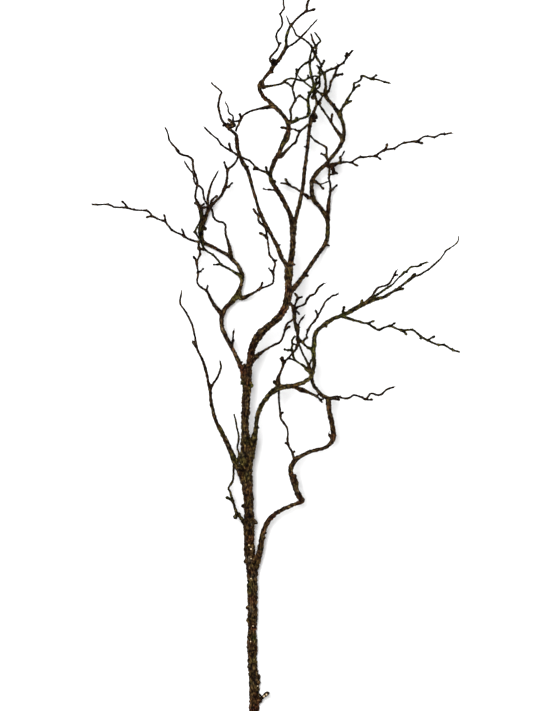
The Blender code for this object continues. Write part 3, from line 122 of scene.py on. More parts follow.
# Bark. It swells by shares of CRUST_SHARE of the wood's radius, plus CRUST_LEAST.
CRUST_SHARE = 0.8
CRUST_LEAST = 0.0008
ALONG_GRAIN = np.array((0.16, 0.11, 0.13))
SHOOT_BLEND = 0.003
PATCH_SPREAD = 0.6
DARK_DEPTH = 1.5
SPECK_SIZE = 0.0014
BLOTCH_SIZE = 0.006
TONE_SIZE = 0.013
CRACK_SIZE = 0.0009
CRACK_DEPTH = 0.0004
RING_WIDTH = 0.0012
BARK_LEVELS = (0.24, 0.38, 0.5, 0.62, 0.8)
BARK_TONES = {
    "brown": ("#030100", "#0e0603", "#28190b", "#49381f", "#78623f"),
    "grey": ("#020201", "#0d0b09", "#2a251e", "#4e463a", "#7b7160"),
    "olive": ("#020200", "#0e0e03", "#2a2b0e", "#50501f", "#80793d"),
    "rust": ("#030100", "#120603", "#33190c", "#5a331e", "#8a5c3b"),
}

# Buds sit on twigs that are on average thinner than TWIG_RADIUS and longer than TWIG_LENGTH, but not on
# the first share of their length.
TWIG_RADIUS = 0.0021
TWIG_LENGTH = 0.02
BARE_SHARE = 0.1

LAMP_PLACE = (-0.55, 0.5, 4.3)
LAMP_SIZE = 1.8
LAMP_POWER = 270
STUDIO_LIGHT = 0.3
FLOOR_SIZE = 14
FLOOR_GAP = 0.0004

# A shoot grows from its parent, where its first point lies on the parent's middle line. A point is
# (across, down, radius) in photograph pixels. A fourth value is its height above the surface in mm, and
# the heights between run smoothly. A spur is (root across, root down, tip across, tip down, radius), and
# a knob is a point on the bark's outline.
Shoot = namedtuple("Shoot", "name parent points spurs knobs", defaults=((), ()))

STEM = Shoot("stem", None, (
    (254, 719, 4.7, 7.2), (254, 711, 4.7, 7.2), (254.5, 700, 5, 7.4), (254.3, 690, 4.8, 7.5),
    (254.3, 680, 5, 7.8), (253, 670, 4.4), (252.6, 660, 4.3, 10), (252, 650, 4.9), (252, 640, 4.8),
    (252, 630, 4), (252.3, 620, 4.7, 13), (252.6, 610, 4.6), (252.5, 600, 4.6), (252.6, 590, 5),
    (252.3, 580, 5, 18), (252, 570, 5.2), (250.3, 560, 5), (249.5, 550, 5.2, 24), (249.2, 540, 4.9),
    (249.1, 530, 5, 29), (249, 520, 4.7), (248.7, 510, 4.5), (248.7, 500, 4.7, 36), (247.6, 490, 5),
    (246.6, 480, 5.5), (246.3, 470, 5.8, 44), (245.6, 460, 5.8), (245.5, 450, 4.8), (245.8, 440, 4.8, 52),
    (245, 430, 3.6), (245, 420, 3.6), (245.6, 410, 3.9, 58), (246, 400, 4), (246.8, 390, 4),
    (247, 383, 4.6, 62), (247.9, 377, 4), (248.4, 370, 3.5), (249.4, 363, 3, 66), (250.7, 355.5, 3.4),
    (252.6, 347.5, 3.5, 70), (255.6, 340.5, 3.8), (259.6, 334.6, 4, 76), (264.6, 329.3, 3.3),
    (269.5, 325.3, 3.1), (274.5, 321.2, 3.2, 84), (279.4, 316.5, 3.4), (283, 311, 3.4), (286, 305, 3.6, 92),
    (287.7, 298, 3.7), (288.4, 291, 3.4, 93), (288.6, 285, 3.4), (288.3, 280, 3.8), (288.7, 275, 4.1, 89),
    (289, 269, 3.9), (290.5, 263, 3), (291.7, 255, 2.8, 86), (292.5, 248, 2.7), (292.9, 240, 2.7, 90),
    (293, 233, 3.1), (293.5, 227, 3.2), (294, 221, 2.6, 96),
), spurs=(
    (251, 517, 256.6, 523.2, 1.5), (247.5, 369, 243.5, 365.5, 1.4), (255, 703, 261, 699, 1.8),
    (260, 699.3, 268.5, 693, 1.5),
), knobs=(
    (246, 608), (246.5, 619.5), (247.5, 661), (247.5, 666), (249, 683.5), (244, 550), (244, 562),
    (243, 494), (241.2, 505.5), (240.4, 383), (240.8, 412.3), (250.3, 413.5), (249.9, 400), (248, 349),
    (257.8, 609), (257.3, 641.5), (257.6, 650), (260, 676.5), (260, 682), (259.8, 694), (258, 574),
    (253.2, 385.8), (296, 243), (294.8, 255), (295.2, 265), (258, 330),
))

RIGHT_SIDE = (
    Shoot("low_right_bough", "stem", (
        (252, 578, 3.2), (255.5, 567, 3.1), (257.5, 561, 3, 23), (259, 555, 3), (261, 545, 2.8),
        (262.5, 535, 2.6, 31), (265, 527.3, 2.4), (268.5, 520.5, 2.6), (273.5, 515.2, 2.3, 38),
        (279.3, 511.2, 2), (285.2, 508, 2), (291, 505.6, 2, 44), (297, 503.3, 2), (301.8, 500.8, 2.6, 48),
        (299.3, 496.5, 2.9), (296.2, 490, 2.6), (292.6, 480, 2.4, 54), (290.7, 471, 2.4),
        (292.4, 464.4, 2.8, 57), (296.2, 459, 2.5), (302.3, 455.5, 2, 53), (309, 452, 2), (316, 450, 1.9),
        (323, 448.5, 1.8, 48), (328.6, 445, 2), (332.5, 440.5, 2.4, 49), (333.7, 435, 2.4),
        (332.5, 427.5, 2.5, 54), (330.7, 418, 2.4), (328.9, 410, 2.4, 60), (328.6, 403, 2.7),
        (327.5, 398.5, 2.2, 65), (321.8, 395.2, 2), (316.9, 389.6, 1.7), (313.2, 384.3, 1.6, 72),
        (311.8, 378, 1.7), (310.3, 372, 1.8, 77), (309, 367, 1.6), (307.8, 363.3, 1.1),
        (305.5, 359, .8, 83), (303, 354, .8), (301, 349.5, .7), (299.3, 344.5, .6, 88),
    ), spurs=(
        (297, 490, 295.8, 481, 1.4), (295.7, 483, 294.4, 474.6, 1.6), (332, 440, 328.8, 434.5, .9),
        (310.3, 368, 311.8, 359.5, .6),
    ), knobs=((269.5, 516.5), (266.8, 533), (265.5, 538), (329.7, 431), (303.5, 499))),
    Shoot("low_right_inner", "low_right_bough", (
        (294, 458.5, 1.2), (291.5, 451, 1), (289, 447, .9), (287.5, 440, .9, 66), (288, 435, .8),
        (287.5, 430, .8), (286, 426, .8), (283.5, 422.5, .9, 74), (281, 419, .9), (280.2, 413, .8),
        (279.5, 406, .8), (279, 399, .8), (279, 391, .7, 80),
    ), spurs=((281, 416, 283.3, 412.5, .7), (288, 445, 285, 442.8, .7), (293, 455, 294.8, 451.7, .7))),
    Shoot("low_right_outer", "low_right_bough", (
        (328, 399.5, 1.6), (331.5, 398, 1.2), (337, 396.5, 1), (341, 397.5, .9), (346, 398.5, .9, 72),
        (350, 397.5, .9), (353.5, 395, .9), (358, 396, .8), (362, 397.5, 1, 80), (366, 399, .9),
        (370, 394, .9), (373, 393.5, .8), (377, 395, .9, 78), (381, 394.5, .8), (384, 392, .8),
        (387, 389.5, .8), (391, 388, .8), (394, 387, .8, 92),
    ), spurs=((366, 399, 372.4, 399.5, .8), (331, 398.8, 339.5, 399.7, .8)), knobs=((340.5, 395),)),
    Shoot("far_right_bough", "stem", (
        (247, 474, 3.2), (249.5, 464, 2.8), (252.3, 452, 2.8, 50), (253.7, 440, 3.2), (255.7, 430, 2.2, 60),
        (256.8, 420, 2), (258.3, 413, 2.4, 70), (261.4, 405.5, 2.3), (265.9, 399, 2.3, 80),
        (270.8, 393.2, 2.6), (276.5, 389, 2.9, 90), (281, 387, 2.8), (288, 386.3, 2.4),
        (295, 385.4, 2.2, 97), (301.8, 383.2, 2), (306.6, 380.6, 1.9), (310.6, 377.6, 1.9, 103),
        (312.7, 373.5, 2), (313.2, 369, 2.1), (314.3, 364, 2, 108), (313.8, 357, 2.1), (313.4, 350, 2.2),
        (314.2, 343, 2.3, 112), (314.6, 336, 2.1), (317, 331, 2), (321, 327.3, 1.9), (325, 324, 2.3, 116),
        (330, 320.5, 2.1), (335, 318, 1.8), (341, 316, 2, 121), (347.2, 313, 2), (354.3, 309.2, 2.2, 126),
        (362.3, 304.6, 2.2), (370.3, 301.3, 1.8, 132), (377, 298.8, 1.6), (384, 297, 1.6),
        (391, 292.8, 1.3, 140), (398, 288.6, 1.1), (404.5, 283.5, 1), (410, 279.5, 1, 148),
        (414.5, 276.5, .9), (420, 274.6, .8), (425, 271.5, .7), (429, 269.2, .8, 155), (433, 265.7, .7),
        (437, 262, .7), (441, 258, .6), (444.3, 253.3, .6, 160), (446, 250.7, .6), (450, 248.2, .5),
        (454, 245.3, .5), (457.3, 242.3, .5, 166), (458.4, 240, .4), (458.7, 236, .4, 170),
    ), spurs=(
        (342, 315.5, 342.5, 311, 1), (342.4, 311.5, 344.2, 306.3, .8), (277.5, 385, 273.6, 381.2, 1.6),
        (360, 304.5, 362.5, 300, .9), (396, 290.5, 403.5, 288.3, .8), (409, 280, 415.5, 273.6, .8),
    ), knobs=((274, 381.8), (278, 380.5), (259.3, 428.3), (311, 352), (327, 327.5), (346, 309.5))),
    Shoot("cross_spray", "far_right_bough", (
        (293, 386, 1.7), (297, 388, 1.7), (300.7, 389.6, 2.4), (304, 390.6, 2.3), (308, 392.2, 1.4, 91),
        (312.4, 394.3, 1), (317, 396.5, .8, 87), (320.5, 400, .7), (322, 402.5, .7, 84),
    ), spurs=((317, 396.5, 319.5, 394, .6), (320, 399.5, 323.5, 398.3, .6))),
    Shoot("lower_right_twig", "far_right_bough", (
        (341, 316, 1.7), (347, 318, 1.4), (352, 319.5, 1.3, 120), (358, 321.3, 1), (364, 323, .9),
        (368, 323.5, .9, 117), (373, 327, .9), (378.5, 330, 1, 116), (384, 327.5, .8), (390, 326, .9),
        (396, 328.5, .8), (401, 330, 1, 124), (407, 330, .8), (412.5, 330, .9), (417, 333, .8),
        (421, 336.5, .9, 129), (426, 339.5, .8), (431, 342, .8), (437, 344.5, .8, 133), (444, 345, .9),
        (449, 348, .7), (453, 350, .8), (459.5, 352, .7, 140),
    ), spurs=(
        (368, 323.5, 374, 321, .7), (390, 326, 395, 323, .7), (401, 330, 406.5, 335, .8),
        (421, 336.3, 420.3, 339, .7), (427, 339.7, 434.5, 336.3, .7),
    ), knobs=((413, 328), (438.5, 346.8), (444.5, 343.2), (453, 347.5), (452.5, 351.8))),
    Shoot("upper_right_twig", "far_right_bough", (
        (365, 302.3, 1.4), (368.5, 299.5, 1.2), (372, 296, 1, 139), (374.3, 292.5, 1),
        (378, 287.7, .9, 144), (384, 286, .8), (389, 283.6, .8, 149), (392, 279, .7), (394.4, 274.8, .8),
        (396.3, 270.8, .7, 158),
    ), spurs=((394.2, 275.2, 397.8, 274.8, .6),)),
    Shoot("green_right_twig", "far_right_bough", (
        (370, 300.2, 1.6), (374, 296.7, 1.3), (378.4, 293.9, 1.1, 130), (383.5, 290.3, 1), (388.5, 287, .9),
        (392.8, 284.2, .8, 135), (397.5, 279, .6), (402.3, 274.3, .9, 142), (404.3, 272.3, 1.1),
        (406.4, 271.6, 1.1), (408.5, 269.3, .8), (411, 267, .8, 148), (415, 266.5, .7), (418, 266.3, .7),
        (420.7, 264.7, .9), (424, 263.3, .7), (427.4, 262, .7, 156),
    ), knobs=((404, 270.8), (407.5, 273), (420, 263), (421.5, 266.5))),
    Shoot("inner_link", "far_right_bough", (
        (314, 350.5, 1.9), (311, 348.6, 1.5), (308, 347.6, 1.2), (305.5, 345.8, .8, 107),
        (302.8, 342.8, .9), (300, 339.8, .9, 103), (298, 336, .9), (296.5, 331, 1), (295.2, 326, .9, 99),
        (294.2, 321, .8), (293.8, 315, .7, 96),
    ), spurs=((301, 341, 298.3, 344, .8),)),
    Shoot("inner_right_twig", "inner_link", (
        (302.5, 342.5, 1.1), (304.8, 339.2, 1), (306.8, 337.8, .9, 111), (306.5, 335.5, .7), (307, 333, .7),
        (308.2, 330, .9, 117), (310, 326.5, .7), (312.5, 323.3, .7), (314.5, 321, .9, 122),
        (317.5, 316.5, .8), (319.5, 313, .7), (321.5, 309, .7, 126), (323.5, 305.5, .7), (325.5, 301.5, .8),
        (328.5, 299, .7), (332.5, 295.8, .8, 131), (335.5, 295, .6), (338.5, 293.5, .6, 134),
    ), spurs=((317.3, 316.3, 315.2, 310.3, .7),), knobs=((308.2, 338.5), (306.3, 329.6), (315.8, 321.5))),
    Shoot("inner_left_twig", "far_right_bough", (
        (277, 384, 2.3), (278, 379.7, 2.1), (279.4, 375, 1.3), (281.5, 370, .9, 97), (283, 366, 1.1),
        (283.8, 362.5, 1.4, 101), (286, 360.3, .9), (288.5, 358, .8), (291, 355, .8, 107), (293.5, 352, .9),
        (295.7, 349.3, 1.1, 111), (297, 346.3, 1.2), (298, 343, 1.4, 115), (297.4, 338, 1.3),
        (298, 333, 1.3, 120), (298.4, 328, 1.1), (297, 325, .8), (295.3, 321.7, .8, 117),
        (294.4, 318.5, .7, 114),
    ), spurs=(
        (283.6, 362.6, 281.7, 357.6, 1.5), (281, 358, 283, 357.2, .9), (300, 326.5, 303.8, 316.7, .6),
        (289, 358, 294.5, 360.3, .5), (296.8, 344.6, 293, 343.8, .6),
    ), knobs=((300.3, 327.3), (296, 339.5))),
    Shoot("green_inner_twig", "low_right_bough", (
        (310.3, 372, 1.8), (307, 369.5, 1.7), (304.5, 366.6, 1.3), (301.5, 364.5, .9, 82), (298, 362.5, .8),
        (295, 360, .8, 87), (293.5, 357, 1), (292.8, 353.5, 1.1, 92), (292, 350, .9), (291.8, 347.5, .8),
        (292.4, 345, .8), (291.8, 342, .9, 99), (292.4, 339.8, .8), (293.8, 337.5, .8),
        (295.5, 336, .8, 104),
    ), spurs=(
        (291.5, 350.3, 287.5, 350.2, .9), (288, 350.2, 284.3, 349.4, .7), (295, 360.3, 289, 358.7, .5),
    )),
    Shoot("stem_right_twig", "stem", (
        (249.5, 365, 2.8), (253.3, 359.5, 2.8), (256.8, 356, 2.6), (260.3, 353.3, 1.8, 76),
        (264.2, 350.6, 1.2), (270, 347, .9, 83), (275, 344.6, 1), (279.5, 342.5, .8, 88),
        (281.8, 339.5, .8), (283.3, 336, .8, 94), (284.3, 332, .8), (285.3, 329, 1, 99), (286, 326, .8),
        (288, 323, .9), (290.5, 321.5, .8), (293, 319.3, .7, 105),
    ), spurs=((285.8, 330.2, 289.7, 326.2, .7),), knobs=((275.5, 343.2),)),
    Shoot("hanging_twig", "stem", (
        (287.5, 301, 2), (291, 304.3, 1.5), (292.8, 307, 1.6), (293.8, 310.5, 1.9, 90), (294.3, 314, 2.1),
        (294.4, 317.5, 2), (294.6, 321, 1.4, 86), (295.3, 325.5, .7), (296, 329.5, .6, 82),
    ), spurs=((295, 309, 299.3, 314.2, .7), (294, 308.5, 297.2, 308, .9))),
    Shoot("small_crest", "hanging_twig", (
        (294, 308.5, 1.2), (295.6, 303.5, .9), (296.8, 300, 1, 97), (298, 298, 1), (296, 295, .9, 100),
        (294.5, 293, .7, 101),
    ), spurs=((297.8, 298.2, 302, 297, .6),)),
    Shoot("crest_right", "hanging_twig", (
        (294.2, 309.5, 1), (297, 307.3, .8), (300, 306.2, .7, 96), (303.2, 305, .7), (305.6, 303.2, .8),
        (306.7, 300, .9, 102), (309, 296.7, 1), (312, 295, .9), (315.2, 293.3, .9, 106), (318, 288.3, .9),
        (321, 285.5, .8), (324.5, 283, .7, 112),
    )),
)

LEFT_SIDE = (
    Shoot("low_left_twig", "stem", (
        (246.5, 486, 3.2), (243, 479.5, 3), (239, 470, 2.8), (234.6, 460.3, 3, 56), (229.4, 448.4, 2.4),
        (225.4, 439.4, 2.4, 68), (221.3, 431.3, 2.4), (217.9, 425.3, 1.9), (214.6, 417.2, 1.8, 80),
        (213, 410, 1.7), (211, 402, 1.6), (210.3, 392, 1.5, 94), (209.8, 388, 1.7), (208.5, 383, 1.6),
        (207.3, 377, 1.3), (206, 371, 1.3, 106), (204.5, 366, 1.3), (203, 361, 1.3), (200, 355, 1, 114),
        (197, 349, 1.1), (196, 343, 1), (195, 337, .9, 122), (193, 328, .9), (191.5, 323, .9),
        (189.5, 319, .8), (187, 314, .8, 132), (184, 309.5, .8), (180.7, 304.5, .7), (180, 300.5, .7),
        (181, 295, .6), (181.6, 290, .5, 142),
    ), spurs=((197, 346.8, 193, 341.3, .9), (228, 443, 224.5, 441.5, 1.2)), knobs=(
        (206.8, 368), (201, 360.5),
    )),
    Shoot("low_left_fork", "low_left_twig", (
        (209.9, 389, 1.5), (213, 384, 1.1), (217, 378, .9, 102), (220, 371, .8), (221, 366, .8),
        (220, 361, .6, 110),
    )),
    Shoot("lowest_left_twig", "stem", (
        (247, 532, 2.4), (243.5, 522.5, 2), (240, 517, 1.7, 31), (237, 513, 1.5), (235, 508, 1.3),
        (233.5, 503, 1.2, 31), (231.5, 497, 1.1), (230, 492, 1.1), (228.6, 488, 1), (231, 484, 1, 34),
        (233, 480, .9), (233.6, 474, .9), (233.6, 468, .9), (234.5, 463, 1, 38), (238.6, 460, 2.1),
        (239, 454, .8), (237.3, 447.5, .8), (238.2, 443, .8, 43), (238.8, 438, .8), (238.2, 433, .7),
        (237, 428, .7), (235.8, 421, .7), (234, 414, .6, 56),
    ), spurs=((232.3, 501, 226, 497.5, 1), (238, 514, 234.8, 518, 1.8)), knobs=((242, 518.5),)),
    Shoot("left_bough", "stem", (
        (247, 385, 3.8), (244, 378, 3.2), (242.4, 371, 2.6, 57), (240, 365, 2.4), (237.5, 359, 2.1),
        (234.1, 352.2, 1.8, 48), (230.9, 346.3, 1.9), (228.3, 341.3, 1.9), (225.2, 334.8, 2.1, 40),
        (222.4, 329.2, 2.2), (221.5, 323, 2.1), (221.7, 317, 2.2, 30), (223.5, 311.3, 2.4),
        (226.5, 307, 2.4), (230.2, 303, 2.4, 23), (234.5, 298.5, 2.8), (238, 294, 2.8, 21),
        (239.6, 289.5, 2.1), (241, 285, 2), (242, 280, 1.9, 24), (242.2, 275, 2.2), (240.4, 270.3, 1.9),
        (238, 265.5, 1.8, 24), (233.7, 261, 1.8), (230, 257, 1.8, 19), (225.2, 253.5, 1.6),
        (220.3, 250.9, 1.7, 13), (214.3, 247.7, 1.7), (208.3, 244.8, 1.8, 6.5), (204, 243, 2.1),
        (201.4, 239.5, 2.6, 3.4), (200.7, 235, 2.6, 3.3), (200.8, 229, 2.8, 3.4), (202.2, 223.5, 2.7, 7),
    ), spurs=((232.3, 347, 233.7, 339.5, .9), (233.6, 340, 234, 330, .6)), knobs=(
        (226.3, 331), (223.6, 336.5), (242.8, 362), (237.3, 268.5),
    )),
    Shoot("long_left_twig", "left_bough", (
        (222, 314, 2.1), (218, 309.5, 2.1), (214.8, 306, 1.9), (211.9, 301, 1.5, 36), (209, 295, 1.2),
        (207, 291.3, 1, 41), (203, 288.8, .9), (199.5, 286, .9), (197.5, 283, .8), (197.3, 279, .8, 47),
        (198, 274.5, .9), (197.5, 269, .8), (197, 265, .9), (197, 262, .9, 45), (198.5, 258, .9),
        (200, 254.3, .9), (199.8, 251, 1), (198.6, 248, 1.1, 38), (198.8, 244.5, 1.1), (198.5, 241.8, 1.2),
        (194, 241, 1, 38), (190, 239.5, .9), (187, 238.3, .8), (184.5, 236.5, .9), (180, 234, .8, 48),
        (176, 232.3, .8), (172, 230, .8), (169, 226.5, .8), (167, 224, .8), (165.3, 221.8, .9, 62),
        (162, 220.5, .8), (158, 219, .8), (155, 217.5, .9), (152.3, 216, .8, 70), (150, 213, .8),
        (147.5, 210.9, .9), (144, 210.5, .7), (139, 210.2, .7, 77), (134, 209.6, .9), (131, 209, .7),
        (127.3, 207.8, .8), (123, 207.5, .7), (118, 207.3, .7, 83), (114, 207.2, .7), (112, 205.8, .7),
        (108.5, 204.6, .8), (104.5, 204.4, .7), (100, 204.6, .7, 90), (96, 204.6, .7), (92, 204.4, .6, 96),
    ), spurs=(
        (207.3, 291.5, 208, 285.3, .7), (198, 273.5, 201, 271.5, .7), (200.8, 271.7, 203.6, 268.8, .6),
        (197, 263, 193, 256.5, .8), (184.3, 236, 181.3, 228.8, .7), (165.2, 221.5, 163.7, 214.7, .7),
        (153, 217, 146.3, 217.5, .7), (127, 207.7, 121.8, 201.3, .7), (199, 248.3, 204.5, 250, .8),
    ), knobs=((170.3, 231.2), (146.5, 209), (134, 208.2), (108.3, 202.8), (97.7, 206.2), (201.7, 254))),
    Shoot("curled_left_twig", "left_bough", (
        (238, 295, 2.6), (241, 297.8, 2.5), (244.3, 297.4, 2.3), (248.3, 295.6, 1.7, 29), (254, 292.6, 1.1),
        (259, 289.5, 1, 42), (265, 287, .8), (270, 285, .8), (272.8, 283, .8, 56), (273.7, 279, .8),
        (273.3, 274, .9, 70), (274, 269, .8), (275, 264, .8), (273.6, 260, .9, 84), (271, 257, .8),
        (269.2, 253.5, .8), (268.5, 247, .8, 96), (267.8, 241, .8), (266.6, 236, .9, 104), (266.3, 231, .8),
        (264, 226, .9), (260.4, 223.3, 1.1, 111), (258.5, 220.3, 1.1), (258.4, 216, 1), (255.9, 212.6, 1.1),
        (252.8, 208.3, .9, 116),
    ), spurs=(
        (259.5, 289.2, 262.5, 282.3, .7), (273.3, 274.3, 270.3, 269.8, .7), (270.6, 270.2, 268.5, 268, .5),
        (273.8, 260.3, 276.7, 260.6, .7), (266.7, 237, 259.3, 233.2, .9),
    ), knobs=((268.4, 255.6),)),
    Shoot("green_left_twig", "left_bough", (
        (242.5, 277.5, 1.9), (238.5, 274.6, 1.7), (235, 272.5, 1.4), (231, 270, 1.1, 36), (226, 267.3, .9),
        (221.5, 264.8, .9, 46), (219, 261.5, .8), (216, 258, .8), (213, 255, .8, 52), (209, 252.5, .8),
        (205.5, 250, .9), (203, 246.5, .9, 56), (201, 241, .9), (198, 237, .8), (196, 233.5, .8, 60),
        (195.7, 230, .8), (197.5, 226, .8), (199.5, 222.5, .7, 67), (201, 217, .7), (201, 209.5, .6, 78),
    ), spurs=(
        (221.5, 264.7, 217, 264.5, .7), (217.3, 264.5, 213.5, 264.5, .5), (196, 233, 193.7, 231.6, .6),
    ), knobs=((213.8, 253.4),)),
    Shoot("left_top_twig", "left_bough", (
        (202, 226, 2.3), (202.1, 220, 2.3), (201.2, 214, 2.2, 18), (200.4, 209, 2.2), (198.8, 205.3, 1.9),
        (197.5, 202, 1.2, 32), (195.8, 199, 1), (195.3, 196, 1), (196, 191, 1, 44), (197, 186.5, 1),
        (197.3, 182, 1), (196.3, 177.5, 1, 58), (194.8, 173, 1), (193.2, 169, 1), (193, 165, 1, 68),
        (192.9, 161, 1), (191.3, 158.3, 1), (188, 156.3, .9, 78), (184, 155.2, .9), (180.3, 153.8, 1),
        (177.8, 151, 1.4, 88), (175, 147, .9), (172, 144, .8), (169.5, 140.5, .7, 96), (168.3, 136, .7),
        (167.3, 132, .6), (165.2, 127.5, .6, 105),
    ), spurs=(
        (198.8, 206.8, 194.3, 202.8, .9), (202, 207, 204.3, 203.7, .8), (203, 221, 205.5, 217, .9),
        (201.5, 231.5, 205.6, 229.6, 1.1),
    )),
    Shoot("left_fan_twig", "left_bough", (
        (202.4, 227, 2), (204.5, 221, 1.9), (206, 216, 1.9, 16), (207.5, 211.5, 1.8), (209, 208, 1.8),
        (212, 205, 1.5, 28), (215, 202, 1.4), (218.5, 198.5, 1.3, 38), (221.5, 195, 1.3), (223.5, 191, 1.5),
        (225, 187, 1.5, 52), (226.5, 182, 1.2), (227.2, 177, 1.1), (227.4, 172, 1, 72), (228.5, 169, 1),
        (231.5, 166.5, .9), (234.5, 163.5, .9, 86), (236.8, 160, .8), (238.3, 156, .7, 95),
    ), spurs=(
        (227.4, 170.5, 225.5, 166, .8), (225.6, 166.4, 224.2, 161.5, .6), (225, 188, 229.5, 186.4, .9),
        (229.2, 186.5, 232.7, 183, .7), (209.3, 207.5, 211.5, 200.3, 1), (211, 201, 217.5, 196, .8),
        (209, 206.5, 202.8, 207.8, .9),
    )),
    Shoot("left_fan_fork", "left_fan_twig", (
        (208.7, 208.5, 1.3), (207.8, 203, 1.1), (207.7, 198.5, 1.1, 36), (208.7, 194, 1), (210, 188.5, .9),
        (211.5, 184, .9, 50), (214, 178.5, .8), (216.5, 174, .7), (218.2, 171, .5, 60),
    )),
    Shoot("left_inner_twig", "left_bough", (
        (231.5, 258.4, 2.1), (230.6, 253, 2.1), (229.4, 247, 1.9, 29), (227.8, 241, 1.3),
        (225.9, 235, 1, 38), (225.5, 230, .9), (225.6, 226, .9), (223.8, 223, .9), (221.5, 222, .9, 46),
        (218.5, 221.6, .9), (215.5, 219.5, .9), (213.3, 216.5, .9, 52), (212.7, 212.5, .9),
        (211.5, 209, .8), (209.5, 206, .9, 60), (206, 202.5, .8), (204.2, 199, .8), (203.3, 194, .8, 72),
        (202.8, 190, .8), (201, 187.5, .8), (198, 185.5, .9, 82), (195.5, 183.5, .8), (194, 180, .7),
        (193.8, 176, .7, 92), (192.5, 172.5, .7), (189.5, 169.5, .6), (187, 166, .6),
        (184.5, 161.5, .5, 104),
    )),
    Shoot("inner_left_bough", "stem", (
        (288.8, 270, 3.2), (286, 264, 2.4), (283, 260, 2.1), (280.4, 254.5, 2.2, 98), (278.2, 248.3, 2.2),
        (275.2, 242.4, 1.9, 104), (272.2, 236.8, 1.7), (269.3, 231.3, 1.9), (266.4, 226.2, 1.9, 112),
        (263.7, 221, 2), (261.5, 215.5, 2.1), (259, 210, 1.7, 122), (257, 203, 1.4), (255.3, 197, 1.5),
        (253.2, 190, 1.5, 134), (251.5, 184, 1.4), (250.2, 179.5, 1.5), (248.8, 174, 1.7, 145),
        (247, 169.5, 1.9), (244.3, 165, 2.1), (241.8, 160.5, 2), (239.8, 156, 1.8, 158), (238, 150, 1.8),
        (237.2, 145, 1.9), (236.6, 140, 2, 170), (236.1, 135.5, 1.6), (233.3, 132, 1.2),
        (230, 129.8, 1.3, 178), (227.5, 127, 1.2), (225, 124, 1.2), (222, 120.5, 1.1, 186),
        (220.5, 116, .9), (219, 110.5, 1), (218.4, 105, .9, 197), (219, 100, .8), (220.2, 95.5, .8),
        (221.3, 92, .9, 205), (218, 88.7, .7), (214.5, 85.8, .6), (211, 82.5, .5, 212),
    ), spurs=(
        (225.5, 124.3, 222.9, 125.8, .9), (229.7, 123.6, 233.2, 124.6, 1.4), (229.5, 128.6, 228, 123, .8),
        (229.8, 127.8, 233.4, 126.3, .9), (233.2, 126.5, 235.2, 125.2, .8), (235, 125.3, 228.2, 119.4, .9),
    ), knobs=((280.7, 244.5), (249.3, 166), (235.3, 127.5))),
    Shoot("arched_twig", "top_bough", (
        (274.5, 105.5, 1.7), (271, 106.6, 1.9), (267.5, 107.5, 1.9), (264, 107.9, 1.5),
        (260, 108.6, 1, 152), (255, 109.8, .9), (249.5, 111.5, .8, 158), (244.8, 114.2, .8), (242, 117, .9),
        (240.4, 120, .9, 160), (239.2, 123.2, .9), (236.9, 127.6, .9), (235.8, 131.5, .8, 160),
    ), spurs=((241, 118, 239.4, 113.8, .8),)),
    Shoot("arched_fork", "arched_twig", (
        (240.6, 119.6, .9), (238, 121, .8), (235.3, 121.5, .8, 165), (232.9, 121, .8), (233.3, 118.2, .7),
        (232.7, 115.6, .7, 170), (230.3, 114.1, .6), (228.3, 111.7, .6), (228.4, 109, .6, 173),
        (227.4, 105.8, .5), (225.2, 102.5, .5, 176),
    )),
    Shoot("low_arch_twig", "top_bough", (
        (270.3, 174.8, 1.6), (266.5, 172.6, 1.1), (262, 170.9, .9, 131), (257.5, 168.8, 1),
        (254.5, 166.3, .8), (252, 163, .8, 138), (249.5, 160.7, .9), (246, 159.2, .8), (243, 158, .8),
        (239.5, 156.5, .9, 142), (235.5, 153.8, .9), (231, 150.8, 1), (226, 148, .8, 147), (221, 144.3, .8),
        (217.5, 139, .8, 151), (212.5, 135.3, .7), (209.3, 132.3, .7, 155), (204.5, 127.5, .6, 160),
    ), spurs=((257.5, 168.8, 253.6, 168.7, .9), (231, 151, 229, 143, .8), (268, 173.3, 266, 166.4, .9)), knobs=(
        (219.5, 144.8), (211, 132.8), (250, 159.6),
    )),
)

